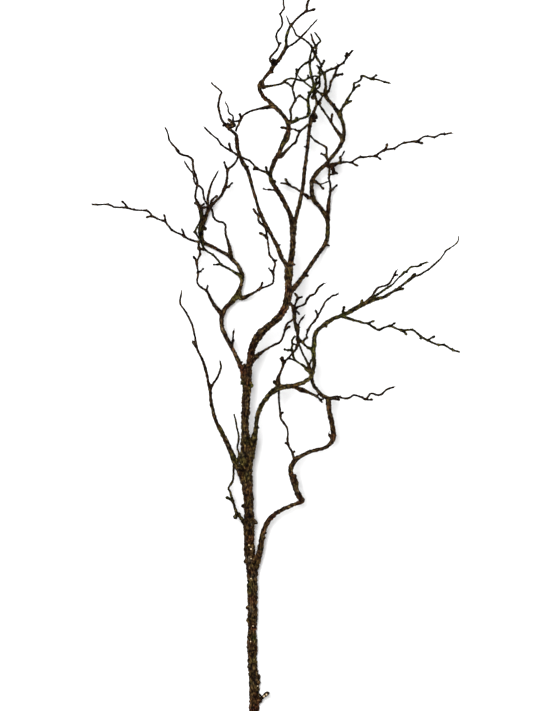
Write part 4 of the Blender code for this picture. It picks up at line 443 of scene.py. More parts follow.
CROWN = (
    Shoot("top_bough", "stem", (
        (293.2, 231, 2.7), (292, 222, 2.7), (290, 214.5, 2.3), (287.4, 208.5, 2.3, 104),
        (284.4, 202.5, 2.2), (281.2, 196.5, 2.3), (277.6, 191, 2.3, 112), (274.6, 186.5, 2.2),
        (272.3, 182.5, 2.1), (270.8, 178.5, 2), (270.4, 174, 1.9, 121), (271.5, 169.5, 2.1),
        (273, 164.5, 2.2), (275, 160, 2.4), (277.8, 155.3, 2.1, 129), (280, 150.3, 2), (282.3, 145.3, 2.3),
        (285.2, 140.5, 2.8), (287.3, 135.3, 2.9, 136), (288.5, 130.3, 2.2), (288.3, 125.5, 2),
        (287, 121, 2), (284.8, 117.7, 2, 142), (281.7, 113.7, 2), (278.1, 110, 2), (274.5, 106.5, 2, 147),
        (271, 103.2, 2), (267.5, 100.1, 2), (263.9, 97.2, 2, 156), (261.3, 93.2, 1.9), (259.8, 89.7, 1.9),
        (259.5, 86.3, 1.9, 168), (260.6, 83.6, 1.8), (262.9, 80.7, 1.7), (265.3, 77.2, 1.6, 178),
        (268, 74, 1.7), (270.4, 70.9, 1.8), (272.6, 67.5, 1.7, 187), (274.8, 64.6, 1.8), (278, 60.6, 1.8),
        (281, 56.5, 1.6, 194), (283.3, 52.7, 1.6), (285.5, 49, 1.6), (286.2, 44.5, 1.5, 200),
        (286, 40, 1.4), (286.6, 36, 1.3), (287.8, 32, 1.3, 204), (289.3, 28.5, 1.2), (291.2, 25.4, 1.2),
        (293.7, 22.4, 1, 209), (297, 18.7, .9), (301, 15, .9), (305, 12.2, .9, 215), (306.9, 10.5, 1.1),
        (306.8, 7, 1), (307.5, 3, 1), (309, 0, .9, 221), (310.5, -4, .7), (311, -8, .5, 225),
    ), spurs=(
        (287.5, 129.2, 281, 127.5, .9), (276, 191.3, 267.5, 189.7, .6), (267.8, 189.8, 263.2, 188.4, .4),
        (306.9, 11.2, 314.8, 8.9, .8), (272, 179, 275.3, 181.7, 1.2), (272, 68.5, 271.6, 73, 1.5),
        (263, 84.3, 265, 88, 1.9), (276, 63.5, 274.8, 60, 1.2),
    ), knobs=((281.3, 141.5), (283.5, 54), (289, 22.8))),
    Shoot("top_right_tip", "top_bough", (
        (285.5, 49, 1.4), (289, 46.4, .9), (294.5, 43, .8, 205), (298, 40, .8), (300.7, 37.5, .8, 209),
        (304, 34, .7), (308, 29.7, .6, 212), (312, 25.2, .5), (317, 19.7, .4, 216),
    )),
    Shoot("top_left_tip", "top_bough", (
        (273.5, 66.3, 1.5), (272, 63.3, .9), (270.2, 61, .8), (269.8, 59, .8, 197), (270.8, 56.6, .8),
        (273.3, 53.7, .8), (276.3, 50.5, .8, 205), (278.2, 47.5, .8), (279, 44.8, .8),
        (277.6, 41.3, .8, 213), (276.5, 38.3, .8), (276.3, 36, .8), (276.8, 33.3, .7, 220),
        (278.4, 30.4, .8), (280.9, 27.7, .8), (282.1, 25, .8, 227), (282.2, 21.3, .8), (281.3, 17, .8),
        (280.2, 14.2, .8, 234), (282, 11.6, .8), (283.8, 9.4, .8), (284.2, 7.8, .8, 239), (283.7, 4.5, .7),
        (283.5, 0, .7, 245), (283.2, -4, .6), (283.6, -8, .5, 250),
    ), spurs=((279, 45.2, 280.5, 42.8, .6), (272.3, 64.5, 272.9, 58.8, .6)), knobs=((275.2, 36.4),)),
    Shoot("crown_left_link", "top_bough", (
        (259.5, 86.5, 2), (262.5, 86.4, 1.6), (266, 86.6, 1.3, 170), (270, 85.9, .9), (275, 85.2, .8, 167),
        (280, 84, .8), (283, 82.7, .9), (285, 80.8, .9, 163), (288, 79, .8), (291.5, 78.4, .8),
        (295.5, 79.2, .8, 158), (299, 80, .8), (303.5, 80.4, 1, 153), (306, 79.7, .8), (308.2, 77.9, .8),
        (310.3, 77.4, .7, 147),
    ), spurs=((284.5, 81.5, 288, 83.2, .8), (287.5, 82.9, 292, 87, .6), (308.8, 77.8, 308.3, 75.2, .6))),
    Shoot("crown_riser", "top_bough", (
        (288.5, 125, 1.6), (290.8, 120.5, 1), (290.9, 115, .9, 139), (290.4, 109.8, 1),
        (293, 104.5, .8, 137), (295.2, 99.8, 1.1), (294.1, 95, .8), (292.9, 91, .8, 134), (292.6, 87.6, 1),
        (293.5, 84, .8), (295.6, 79.8, .9, 137), (296.3, 76, .8), (297.2, 72.4, .9), (298.9, 69.6, .8, 141),
        (301.5, 66.4, .8), (304.5, 64, .9), (307.3, 62.4, .9, 146), (309.3, 61.2, .7, 148),
    ), spurs=((295, 99.7, 300.2, 94.9, .7), (300, 95.1, 307.5, 101, .6), (297.4, 71.9, 296.4, 68.8, .7)),
    knobs=(
        (294.8, 73.2), (289.2, 109.5), (296.8, 100.8), (306, 64.2),
    )),
    Shoot("crown_right_twig", "top_bough", (
        (278, 155.5, 2.1), (280.5, 156.8, 2), (282.9, 154.4, 1.8), (286, 150.9, 1.4, 124),
        (289.6, 147.3, 1), (292.7, 144.3, .9), (295.8, 142, 1.1, 117), (297, 138, .9), (298.5, 134.5, .8),
        (299.6, 131.6, 1, 112), (302.5, 129.3, .9), (305.5, 126.7, .9), (308.3, 124.2, .8, 108),
    ), spurs=((299.3, 131.3, 295, 129.2, .7), (295.5, 129.3, 291, 129.3, .5)), knobs=(
        (295.7, 143.4), (299, 129.3), (301, 132.6),
    )),
    Shoot("green_crown_strand", "top_bough", (
        (287.5, 124.5, 2), (291, 122.5, 1.9), (294, 121.5, 1.6), (297.5, 120, 1.1, 128), (301, 118.6, .9),
        (304.5, 117.5, 1, 120), (307.3, 115.7, 1.4), (309, 112.3, 1.8), (308.5, 107.5, 1.5, 114),
        (308, 102.5, 1.5), (308.3, 98, 1.3, 113), (309.6, 94.3, 1.2), (311.7, 91, 1.3, 115),
        (313.4, 87.5, 1.4), (313.8, 84, 1.4, 118), (312.8, 80, 1.3), (311.3, 75.5, 1.2, 121),
        (310.4, 70.5, 1), (309.9, 66, 1), (309.6, 61.5, 1.1, 126), (310.2, 57, .9), (311.2, 52.3, .8, 131),
        (312.6, 49, 1), (314.3, 47.5, .9), (316, 46, .9, 136), (318.2, 43.4, .7), (320.4, 41, .8, 140),
        (318.6, 37.6, .6), (316.5, 34.7, .6), (314.3, 32, .5, 146),
    ), spurs=(
        (296, 120.8, 296.8, 117.3, 1), (309.8, 93.8, 308.2, 92.5, .8), (312, 77, 315.5, 76, .5),
        (315.3, 76, 318.3, 76.7, .5),
    ), knobs=((309, 72.3), (312.7, 73.8))),
    Shoot("crown_top_twig", "green_crown_strand", (
        (315.8, 46.3, .9), (314.2, 43.7, .7), (313, 41, .8, 141), (311.9, 37.3, .7), (311, 34, .8, 147),
    ), knobs=((312, 40.6),)),
    Shoot("crown_left_runner", "green_crown_strand", (
        (312.6, 49, .9), (311.2, 46, .8), (309, 43.5, .8, 140), (306, 41, .7), (303, 38.8, .7, 145),
        (300, 37.2, .7), (296.2, 34.9, .6, 150), (295, 32.3, .7), (293.7, 29.2, .7), (292, 26.3, .6, 154),
        (289.6, 23.6, .6), (288.4, 20.7, .5), (286.5, 16.3, .4, 160),
    )),
    Shoot("crown_side_loop", "green_crown_strand", (
        (309.7, 62, .9), (311.5, 60.8, .9), (313.4, 58.5, .9, 131), (315.3, 55.3, 1), (316.2, 52, .7, 135),
        (316.4, 48.5, .7, 138),
    ), spurs=((315, 55.5, 313.4, 50.5, .7),), knobs=((317.6, 53.5), (317.7, 48.2))),
    Shoot("middle_bough", "stem", (
        (293.5, 227, 2.6), (295.6, 218.5, 2.1), (297.3, 212, 1.9), (299, 206, 1.9, 101), (300.6, 199, 2),
        (302.3, 190, 1.9, 104), (303.5, 181, 2), (304.6, 170, 1.9, 104), (306, 160, 1.6),
        (307.2, 150, 1.5, 100), (308.2, 141, 1.6), (308.8, 134, 1.6), (309.5, 128, 1.6, 96),
        (310.6, 122, 2), (312, 118, 2.9), (313.6, 115.3, 3, 93), (314.1, 111.5, 1.6), (315.6, 107, 1.2),
        (317.2, 103, 1.5, 96), (315.9, 98.8, 1.1), (314.9, 94.5, 1.1, 99), (314.4, 90, 1.5),
        (314.4, 86.3, 1.5, 101), (316.4, 83.9, 1.2), (319, 82, 1, 102), (319.7, 79, .8), (319.2, 76.8, .8),
        (320.3, 75.4, .7, 103),
    ), spurs=(
        (311.5, 121.5, 315.2, 121.2, 1), (316.3, 83.8, 316.4, 78.8, .8), (316.3, 79.3, 318.3, 76.8, .6),
        (313.5, 92, 312.2, 98.3, 1.7), (317.3, 102.8, 321, 103.5, .8), (313, 117, 317, 116.5, 1.8),
    ), knobs=(
        (302.7, 169.5), (303.8, 146.5), (307.8, 161.3), (305.2, 146.8), (307.2, 133), (311.8, 127),
        (310.8, 133.2),
    )),
    Shoot("middle_top_loop", "middle_bough", (
        (314.4, 90.3, 1), (317, 88.7, .8), (319.2, 86.5, .8, 105), (319.9, 84, .7), (319.8, 81, .6, 108),
    )),
    Shoot("right_bough", "stem", (
        (288.5, 296, 3.2), (292, 290, 2.8), (295.5, 286, 2.4, 82), (299, 281.5, 2.2), (303, 276.5, 2.1, 68),
        (307, 270.5, 2), (311, 264.5, 2, 50), (315.5, 258, 2), (320, 251.5, 2, 29), (324, 246, 2.2),
        (326.5, 240, 2.1, 11), (327.5, 233, 2.1, 2.9), (327.8, 226, 2.1, 2.8), (327.4, 220, 2.2, 2.9),
        (325.1, 215.2, 2.2, 8), (322.4, 210.4, 2.1), (318.9, 206, 2.1, 17), (315.5, 202.4, 2.2),
        (313.5, 198.5, 2.2), (312.2, 195, 2.1, 26), (311.5, 190, 2.1), (311.7, 185, 2.1, 34),
        (312.2, 180.5, 2.1), (313.8, 177, 2.1), (316.7, 172.8, 2.1, 42), (320.9, 168.6, 2.1),
        (326, 164.2, 2, 48), (329.7, 159.5, 1.9), (334.1, 154.5, 1.9, 53), (337.7, 149.6, 1.8),
        (340.6, 144.8, 1.8, 58), (342.8, 140, 2), (343.9, 135, 2), (344, 130, 1.8, 65), (343.3, 124.8, 1.7),
        (341.8, 120, 1.8), (339.6, 115.4, 1.9, 73), (337.1, 111, 2.1), (334.3, 106.8, 2),
        (331.2, 103.1, 1.7, 81), (327.8, 99.5, 1.7), (325.8, 95.8, 2.1), (325, 92.3, 1.7, 89),
        (325.7, 87, 1.3), (325.6, 81.5, 1.2, 95), (324.4, 75.5, 1.3), (323.2, 73, 1.3, 100),
        (321.7, 71, 1.2), (319.9, 68.7, 1), (318.2, 66.9, .9, 105), (316.5, 65, .9, 106),
    ), spurs=(
        (303.5, 276, 308, 275.8, .8), (312, 181.5, 316.5, 182, 1.7), (315.5, 182.5, 320.3, 184.7, .8),
        (319.8, 184.3, 323.6, 188.8, .7), (320.3, 184.8, 328.4, 181.3, .4), (324.5, 94.8, 321.2, 93.8, 1.3),
        (322.2, 94.3, 319.3, 101.5, .8), (320, 69, 322, 65.6, .9), (321.8, 65.8, 324, 60.2, .9),
        (321.5, 65.3, 317.5, 59, .8), (317.6, 59.3, 315.7, 55.8, .7), (323.3, 73.4, 320, 75.5, .9),
        (320, 69.3, 319.2, 73.5, .9),
    ), knobs=((335.2, 104), (330, 246), (342.3, 147.5))),
    Shoot("right_low_twig", "right_bough", (
        (313, 197.8, 2), (309.5, 197.8, 1.4), (306.5, 195.8, 1.8, 28), (303, 193.4, 1.2),
        (299, 190.6, .9, 36), (295, 188, .9), (291, 186, .8, 44), (288.5, 184.4, .9), (285, 183.7, .7),
        (280.8, 183, .6, 52),
    ), spurs=((289, 184.6, 285.3, 178.6, .8),), knobs=((305, 193.7), (307.2, 199.4))),
    Shoot("right_rising_twig", "right_bough", (
        (327.4, 220.5, 2), (328, 213, 2.1, 9), (328.4, 205, 2.1), (329, 199.5, 1.5, 20), (329.8, 195, 1.1),
        (330.3, 190, 1.1, 34), (330.3, 186, .9), (329.7, 182, .9), (328.9, 178, .8, 50), (329.1, 173.5, .8),
        (329.3, 169.5, .8), (329, 165.5, .9, 64), (328, 162, 1), (327, 159, 1), (326.5, 155.5, .9, 71),
        (326.7, 151.5, .8), (326.3, 147.8, .9, 74), (323, 145, .8), (319.3, 143.4, .8, 76),
        (315.5, 140.8, .9), (312.8, 138.5, .8), (310.2, 135.3, .7, 78),
    ), spurs=(
        (330.5, 191.5, 333.3, 188.4, 1), (333, 188.7, 337.2, 185.2, .7), (329.3, 175.6, 333, 174.2, .7),
        (332.7, 174.3, 337, 172.7, .6), (326.3, 156.8, 323.5, 154.6, .9), (323.7, 154.8, 321, 153.2, .7),
    ), knobs=((331.3, 183.3), (327.3, 177.5), (327.3, 146.4), (328.3, 181.4), (315, 142.3))),
    Shoot("right_long_twig", "right_bough", (
        (326.5, 164.5, 2.3), (330.5, 166, 2.4), (334, 164.6, 2.1, 53), (338, 163.3, 1.5), (342, 162.5, 1.1),
        (347, 162, .8), (351.5, 162.2, .9, 60), (356, 158.9, .8), (360.5, 157.1, 1, 64), (365, 157.1, .8),
        (370, 156.4, .8), (375, 156, .9, 71), (379, 153.2, .8), (384, 150.4, .9, 77), (390, 149.1, .8),
        (394.5, 148.4, .9, 80), (398, 146, .7), (402, 143.6, .7), (404.3, 142.8, .9, 82), (409, 142, .7),
        (413, 141.4, .8), (416.3, 141.5, .9, 85), (420, 139.2, .7), (423, 137.1, .7),
        (426.8, 136.3, .8, 90), (430.5, 136.6, .7), (434.3, 137.2, .8), (438, 135.6, .6),
        (440.8, 134.3, .8, 95), (444.3, 134.1, .8), (448, 133.6, .7), (452, 133, .9, 100),
    ), spurs=(
        (332.8, 165.5, 333.6, 170.2, 1.6), (333.4, 169.6, 332.7, 174.5, .8),
        (333.5, 169.8, 337.3, 173.5, .7), (341, 162.2, 340.4, 156.8, 1), (340.5, 157.3, 344.3, 151, .5),
        (352, 162.2, 357.9, 165.8, .7), (375.5, 156, 380.6, 159.4, .7), (384.3, 150.2, 387.1, 143.7, .9),
        (416.5, 141.7, 422.6, 143.3, .9),
    ), knobs=(
        (343.8, 160.6), (360.4, 155), (403.9, 141), (395.2, 150.2), (427.5, 134.7), (434.7, 138.5),
        (444.3, 131.8), (444.4, 135.9), (363, 158.4),
    )),
    Shoot("right_upper_twig", "right_bough", (
        (340.5, 116, 2), (340.6, 112, 1.6), (341.6, 109, 1.2), (343.6, 105.6, .9, 82), (345.8, 102.2, .9),
        (347.8, 98.8, 1.1, 88), (350, 95, .8), (352, 92, .8, 93), (353.7, 89.3, 1), (353.8, 86, .9),
        (354.4, 83.4, 1, 99), (357, 82.1, .8), (360, 80.4, .8), (361.5, 78.3, .8, 104), (361.7, 76, 1.1),
        (364.8, 76.3, .7), (368, 77.7, .7), (371.3, 79, .9, 106), (374.5, 79.2, .7), (378, 79.8, .7),
        (381.5, 80.8, .7, 111), (384.3, 82, .8), (387, 82.5, .7), (389.7, 83.2, .7, 116),
    ), spurs=((344, 105.2, 351.4, 100.6, .8), (353.6, 89.2, 360, 85.4, .8), (371.8, 79, 377, 75, .7)), knobs=(
        (360.3, 76.4), (373.4, 80.7), (383.3, 83.4), (385.5, 80.6), (347, 97.8),
    )),
    Shoot("right_inner_twig", "right_bough", (
        (343, 139.5, 2), (340.3, 135.3, 2), (337.5, 131.7, 1.7, 68), (335, 128.6, 1.4), (332.3, 124.3, 1),
        (330, 120, .9, 78), (327, 115.8, .8), (324.3, 111.7, .8, 84), (321.5, 107.8, .8),
        (319, 104.3, .8, 88), (317.8, 101.5, .7, 89),
    ), spurs=((330.5, 120.8, 332, 113.7, .8),), knobs=((320.6, 110),)),
    Shoot("crown_cross_twig", "right_bough", (
        (325.5, 94.5, 1.5), (321.5, 93.9, .9), (318.2, 91.6, .7, 93), (315.3, 89.5, .7),
        (311.5, 87.4, .7, 97), (308.5, 85.2, .7), (305.5, 82.9, .7), (302.7, 80.2, .6, 102),
        (300.3, 78.2, .5), (298.2, 76.2, .4, 105),
    )),
    Shoot("right_top_twig", "right_bough", (
        (324, 75, 1.3), (326.2, 71.6, .9), (330, 69.6, .8, 105), (333.7, 68.5, .8), (336, 67.2, .9),
        (338.6, 66, 1, 110), (341, 64.3, .8), (343.4, 62.6, .8, 114), (345.3, 60, .8), (346.5, 57.8, .8),
        (348.6, 55, 1, 119), (350.5, 52.8, .8), (352.9, 50.2, .9, 124),
    ), spurs=((346.4, 58, 345.2, 55.4, .6), (348.5, 55.2, 346.7, 53, .9)), knobs=(
        (326.5, 69.2), (331.3, 67.3), (344.7, 64.2), (350.4, 56),
    )),
    Shoot("right_side_riser", "right_bough", (
        (325.5, 94.3, 1.3), (328.3, 91.4, .9), (329.6, 88, .8), (330.3, 84.5, .8, 96), (330.9, 82, .9),
        (332.3, 79.3, .8), (334.2, 76.5, .9, 102), (335.4, 73, .9), (336.4, 69.8, .9), (338, 66.8, .8, 108),
        (337.7, 64.2, .7, 110),
    ), spurs=((334.6, 76.2, 338, 75.1, .9), (337.6, 75.2, 342.7, 74.6, .9)), knobs=(
        (329.6, 81.2), (329.9, 91.7), (335.5, 77.7),
    )),
)

SHOOTS = {shoot.name: shoot for shoot in (STEM, *RIGHT_SIDE, *LEFT_SIDE, *CROWN)}
SHOOT_NUMBERS = {name: number for number, name in enumerate(SHOOTS)}
routes = {}

# The pieces of wood. They meet inside it, so that none is too finely meshed.
PARTS = {"stem_wood": (STEM,), "right_side_wood": RIGHT_SIDE, "left_side_wood": LEFT_SIDE, "crown_wood": CROWN}

# Colour patches as (across, down, radius in pixels, strength), in the photograph
GREEN = (
    (314, 350, 16, .9), (343, 317, 9, .8), (300, 118, 9, .9), (287, 36, 10, .8), (309, 75, 22, .9),
    (252, 386, 4, .9), (272, 382, 4, .8), (241, 384, 5, .7), (229, 499, 5, .9), (217, 264, 6, .8),
    (243, 462, 7, .4), (246, 476, 6, .4), (247, 441, 6, .5), (236, 297, 8, .5), (202, 232, 8, .5),
    (270, 176, 9, .4), (327, 232, 10, .4), (249, 584, 5, .6), (250, 591, 3, .5), (255, 638, 4, .7),
    (256, 660, 8, .35), (341, 120, 8, .5), (222, 431, 8, .5), (235, 458, 8, .6), (282, 142, 6, .6),
)
RUST = (
    (241, 370, 7, .9), (247, 384, 5, .8), (288, 129, 6, .6), (283, 311, 6, .8), (333, 167, 5, .5),
    (296, 386, 8, .7), (255, 706, 10, .7), (251, 540, 7, .6), (246, 440, 4, .4), (287, 290, 6, .5),
    (262, 97, 8, .5), (225, 190, 9, .4), (300, 503, 6, .4), (333, 437, 6, .5), (254, 628, 4, .9),
    (252, 600, 5, .5), (250, 644, 4, .6), (250, 656, 4, .6), (249, 490, 5, .6), (242, 476, 4, .7),
    (270, 516, 8, .7), (258, 560, 6, .5), (252, 449, 4, .5),
)
PALE = (
    (249, 545, 1.1, .9), (251, 549, 1.3, 1), (249, 557, .9, .8), (251, 558.5, 1, .9), (249.5, 568, .9, .8),
    (251, 578.5, 1, .9), (253, 626, 1, .9), (250.5, 641.5, 1.1, .9), (257.5, 686, 1, .8),
    (312, 372, .9, .6), (298, 344, .9, .7), (264, 696.3, 1.6, .9), (266.5, 694.5, 1.4, .9),
)
DARK = (
    (313.5, 116, 3.5, 1), (312, 96, 2.5, .8), (274, 382, 3, .6), (282.8, 360, 3, .9), (204, 211, 4, .5),
    (201, 234, 5, .5), (234.5, 515, 3, .5), (243.5, 505, 3, .5), (302, 390, 3, .4), (288, 28, 2, .4),
)

# How olive green a whole shoot is
GREEN_SHOOTS = {
    "green_right_twig": .8, "green_inner_twig": .7, "green_left_twig": .7, "green_crown_strand": .8,
    "far_right_bough": .35, "lower_right_twig": .5, "crown_left_link": .3, "inner_link": .5,
    "right_upper_twig": .5, "lowest_left_twig": .3, "crown_riser": .2,
}


# Middle lines, worked out as in the part's source

def placed(rows):
    """Rows of (across, down, radius, height) in the photograph, as rows of (x, y, z, radius) in metres."""
    nearer = (VIEW_DISTANCE - rows[:, 3]) / VIEW_DISTANCE
    x = (PHOTO_MIDDLE[0] - ORIGIN_PIXEL[0] + (rows[:, 0] - PHOTO_MIDDLE[0]) * nearer) * PIXEL
    y = (ORIGIN_PIXEL[1] - PHOTO_MIDDLE[1] + (PHOTO_MIDDLE[1] - rows[:, 1]) * nearer) * PIXEL
    return np.column_stack((x, y, rows[:, 3], rows[:, 2]))


def photo_place(spots):
    """Where each spot is seen in the photograph."""
    nearer = (VIEW_DISTANCE - spots[:, 2]) / VIEW_DISTANCE
    across = (spots[:, 0] / PIXEL - PHOTO_MIDDLE[0] + ORIGIN_PIXEL[0]) / nearer + PHOTO_MIDDLE[0]
    down = PHOTO_MIDDLE[1] - (spots[:, 1] / PIXEL - ORIGIN_PIXEL[1] + PHOTO_MIDDLE[1]) / nearer
    return across, down


def curved(points, steps):
    """Rows read from the smooth curve through these rows, with this many steps between two of them."""
    rows = np.array(points, float)
    rows = np.vstack((2 * rows[0] - rows[1], rows, 2 * rows[-1] - rows[-2]))
    found = []
    for before, start, end, after in zip(rows, rows[1:], rows[2:], rows[3:]):
        for step in range(steps):
            t = step / steps
            found.append(0.5 * (2 * start + (end - before) * t
                                + (2 * before - 5 * start + 4 * end - after) * t ** 2
                                + (3 * start - before - 3 * end + after) * t ** 3))
    return np.vstack((found, rows[-2]))


def eased(at, known_at, known):
    """A smooth run of values through the known ones."""
    slopes = np.gradient(known, known_at) if len(known) > 2 else np.zeros(len(known))
    slot = np.clip(np.searchsorted(known_at, at, "right") - 1, 0, len(known) - 2)
    span = known_at[slot + 1] - known_at[slot]
    t = (at - known_at[slot]) / span
    rise = known[slot + 1] - known[slot]
    return (known[slot] + rise * t ** 2 * (3 - 2 * t)
            + span * t * (1 - t) * (slopes[slot] * (1 - t) - slopes[slot + 1] * t))


def thinness(radius):
    """0 for thick wood, 1 for thin wood, and between them for wood between the two."""
    return np.clip((THICK_RADIUS - radius) / (THICK_RADIUS - THIN_RADIUS), 0, 1)


def fuller(radius):
    """The radius of wood that looks this thick against the bright background."""
    return radius + FULLER * thinness(radius)


def nearest(rows, across, down):
    """The row that is nearest in the photograph."""
    return rows[np.argmin(np.hypot(rows[:, 0] - across, rows[:, 1] - down))]


def route_of(name):
    """The middle line of a shoot as rows of (across, down, radius, height): pixels, then metres."""
    if name in routes:
        return routes[name]
    shoot = SHOOTS[name]
    points = np.array([point[:3] for point in shoot.points], float)
    known = {index: point[3] / 1000 for index, point in enumerate(shoot.points) if len(point) > 3}
    if shoot.parent:
        root = nearest(route_of(shoot.parent), *points[0, :2])
        points[0, :2] = root[:2]
        known[0] = root[3]
    line = curved(points, CURVE_STEPS)
    along = np.concatenate(([0], np.cumsum(np.hypot(*np.diff(line[:, :2], axis=0).T)))) * PIXEL
    at = sorted(known)
    height = eased(along, along[np.array(at) * CURVE_STEPS], np.array([known[index] for index in at]))
    if shoot.points[0][2] * PIXEL < CURLING_RADIUS:
        draw = random.Random(SEED + sum(map(ord, name)))
        turns = 2 * math.pi * along / CURL_LENGTH
        wave = np.sin(turns + draw.uniform(0, 6)) - 0.5 * np.sin(1.7 * turns + draw.uniform(0, 6))
        height += CURL_HEIGHT * np.minimum(1, along / CURL_LENGTH) * wave
    routes[name] = np.column_stack((line[:, 0], line[:, 1], fuller(line[:, 2] * PIXEL), height))
    return routes[name]


def generation_of(name):
    """0 for the stem, 1 for what grows from it, and so on."""
    parent = SHOOTS[name].parent
    return generation_of(parent) + 1 if parent else 0


# A line of wood. Its rows are (x, y, z, radius, way along, heading x, y, z), close together.
Line = namedtuple("Line", "shoot generation rows")


def line_of(shoot, generation, rows):
    """A smooth line of wood through these rows of (x, y, z, radius)."""
    rows = curved(rows, LINE_STEPS) if len(rows) > 2 else rows
    along = np.concatenate(([0], np.cumsum(np.linalg.norm(np.diff(rows[:, :3], axis=0), axis=1))))
    at = np.linspace(0, along[-1], max(3, math.ceil(along[-1] / ROW_STEP)))
    rows = np.column_stack([np.interp(at, along, column) for column in rows.T])
    rows[:, 3] = np.maximum(rows[:, 3], THINNEST)
    heading = np.gradient(rows[:, :3], axis=0)
    heading /= np.linalg.norm(heading, axis=1)[:, None]
    return Line(shoot, generation, np.column_stack((rows, at, heading)))


def outgrowth(root, tip, places, shape, radius):
    """Rows from the root to the tip, as thick as the shape says at these places."""
    rows = np.array([root + (tip - root) * place for place in places])
    rows[:, 2] = radius * np.array(shape)
    return rows


def lines_of(shoot):
    """The shoot itself, then its short spurs, then the knobs of its bark.

    The part's source draws twice for each spur and each large knob. Both draws are made here too, so that
    they rise alike."""
    generation = generation_of(shoot.name)
    wood = route_of(shoot.name)
    yield line_of(shoot.name, generation, placed(wood))
    draw = random.Random(SEED + len(shoot.name))
    bend = random.Random(shoot.name)
    for across, down, tip_across, tip_down, pixels in shoot.spurs:
        root = nearest(wood, across, down)
        length = math.hypot(tip_across - root[0], tip_down - root[1]) * PIXEL
        radius = fuller(pixels * PIXEL)
        height = max(root[3] + draw.uniform(*SPUR_RISE) * length, 2 * SKIN_LEAST)
        draw.random()
        tip = np.array((tip_across, tip_down, radius, height))
        tip[:2] += (tip[:2] - root[:2]) * BUD_REACH / length
        rows = outgrowth(root, tip, SPUR_PLACES, SPUR_SHAPE, radius)
        side = np.array((root[1] - tip[1], tip[0] - root[0]))
        rows[1:4, :2] += side * bend.uniform(-SPUR_BEND, SPUR_BEND) * np.array(SPUR_BOW)[:, None]
        # The next spur may grow from this one
        wood = np.vstack((wood, rows[1:]))
        yield line_of(shoot.name, generation + 1, placed(rows))
    for across, down in shoot.knobs:
        root = nearest(wood, across, down)
        large = root[2] >= KNOB_BEARING
        rise = (draw if large else bend).uniform(*KNOB_RISE)
        if large:
            draw.random()
        height = max(root[3] + rise * root[2], KNOB_LOWEST * root[2])
        tip = np.array((across, down, root[2], height))
        rows = outgrowth(root, tip, KNOB_PLACES, KNOB_SHAPE, root[2])
        yield line_of(shoot.name, generation + 1, placed(rows))


# Node trees and the meshes that they make

def add(tree, kind, settings=None, **inputs):
    """A node of that kind with these settings. An input is a value, or a socket that is linked to it."""
    node = tree.nodes.new(kind)
    for name, value in (settings or {}).items():
        setattr(node, name, value)
    for name, value in inputs.items():
        name = name.replace("_", " ").strip()
        socket = node.inputs[int(name) if name.isdigit() else name]
        if isinstance(value, bpy.types.NodeSocket):
            tree.links.new(value, socket)
        else:
            socket.default_value = value
    return node


def worked_out(tree, operation, first, second):
    """One number from two."""
    return add(tree, "ShaderNodeMath", {"operation": operation}, _0=first, _1=second).outputs[0]


def scaled(tree, vector, share):
    return add(tree, "ShaderNodeVectorMath", {"operation": "SCALE"}, _0=vector, Scale=share).outputs[0]


def spread(tree, value, low, high, least=0.0, most=1.0, clamp=True):
    """The value's run from low to high, as a run from least to most."""
    return add(tree, "ShaderNodeMapRange", {"clamp": clamp}, Value=value, From_Min=low, From_Max=high,
               To_Min=least, To_Max=most).outputs[0]


def noise(tree, place, scale, detail, roughness=0.5, seed=None):
    """Soft random values, with about as many features in a metre as the scale says."""
    settings, more = ({}, {}) if seed is None else ({"noise_dimensions": "4D"}, {"W": seed})
    return add(tree, "ShaderNodeTexNoise", settings, Vector=place, Scale=scale, Detail=detail,
               Roughness=roughness, **more).outputs[0]


def linear(colour):
    """An sRGB hex colour as linear red, green, blue and alpha."""
    parts = [int(colour[at:at + 2], 16) / 255 for at in (1, 3, 5)]
    return (*(part / 12.92 if part <= 0.04045 else ((part + 0.055) / 1.055) ** 2.4 for part in parts), 1)


def ramp(tree, value, stops):
    """Colours between these (place, hex colour) stops."""
    node = add(tree, "ShaderNodeValToRGB", _0=value)
    elements = node.color_ramp.elements
    while len(elements) < len(stops):
        elements.new(0.5)
    for element, (at, colour) in zip(elements, stops):
        element.position, element.color = at, linear(colour)
    return node.outputs[0]


def mixed(tree, share, under, over):
    """One colour over another."""
    return add(tree, "ShaderNodeMix", {"data_type": "RGBA"}, Factor=share, _6=under, _7=over).outputs[2]


def material_named(name, roughness=0.5, specular=0.5):
    """A new material, its node tree and its shader."""
    material = bpy.data.materials.new(name)
    material.use_nodes = True
    shader = material.node_tree.nodes["Principled BSDF"]
    shader.inputs["Roughness"].default_value = roughness
    shader.inputs["Specular IOR Level"].default_value = specular
    return material, material.node_tree, shader


def geometry_tree(name, **sizes):
    """An empty tree with a geometry input and output, and one named input for each size."""
    tree = bpy.data.node_groups.new(name, "GeometryNodeTree")
    tree.interface.new_socket("Geometry", in_out="INPUT", socket_type="NodeSocketGeometry")
    tree.interface.new_socket("Geometry", in_out="OUTPUT", socket_type="NodeSocketGeometry")
    for label, value in sizes.items():
        kind = {int: "NodeSocketInt", float: "NodeSocketFloat"}.get(type(value), "NodeSocketMaterial")
        socket = tree.interface.new_socket(label.replace("_", " "), in_out="INPUT", socket_type=kind)
        if value is not None:
            socket.default_value = value
    return tree, tree.nodes.new("NodeGroupInput"), tree.nodes.new("NodeGroupOutput")


def coated(tree, result, geometry, material):
    """End the tree with its geometry made real and given its material."""
    whole = add(tree, "GeometryNodeRealizeInstances", Geometry=geometry)
    coat = add(tree, "GeometryNodeSetMaterial", Geometry=whole.outputs[0], Material=material)
    tree.links.new(coat.outputs[0], result.inputs[0])
    return tree


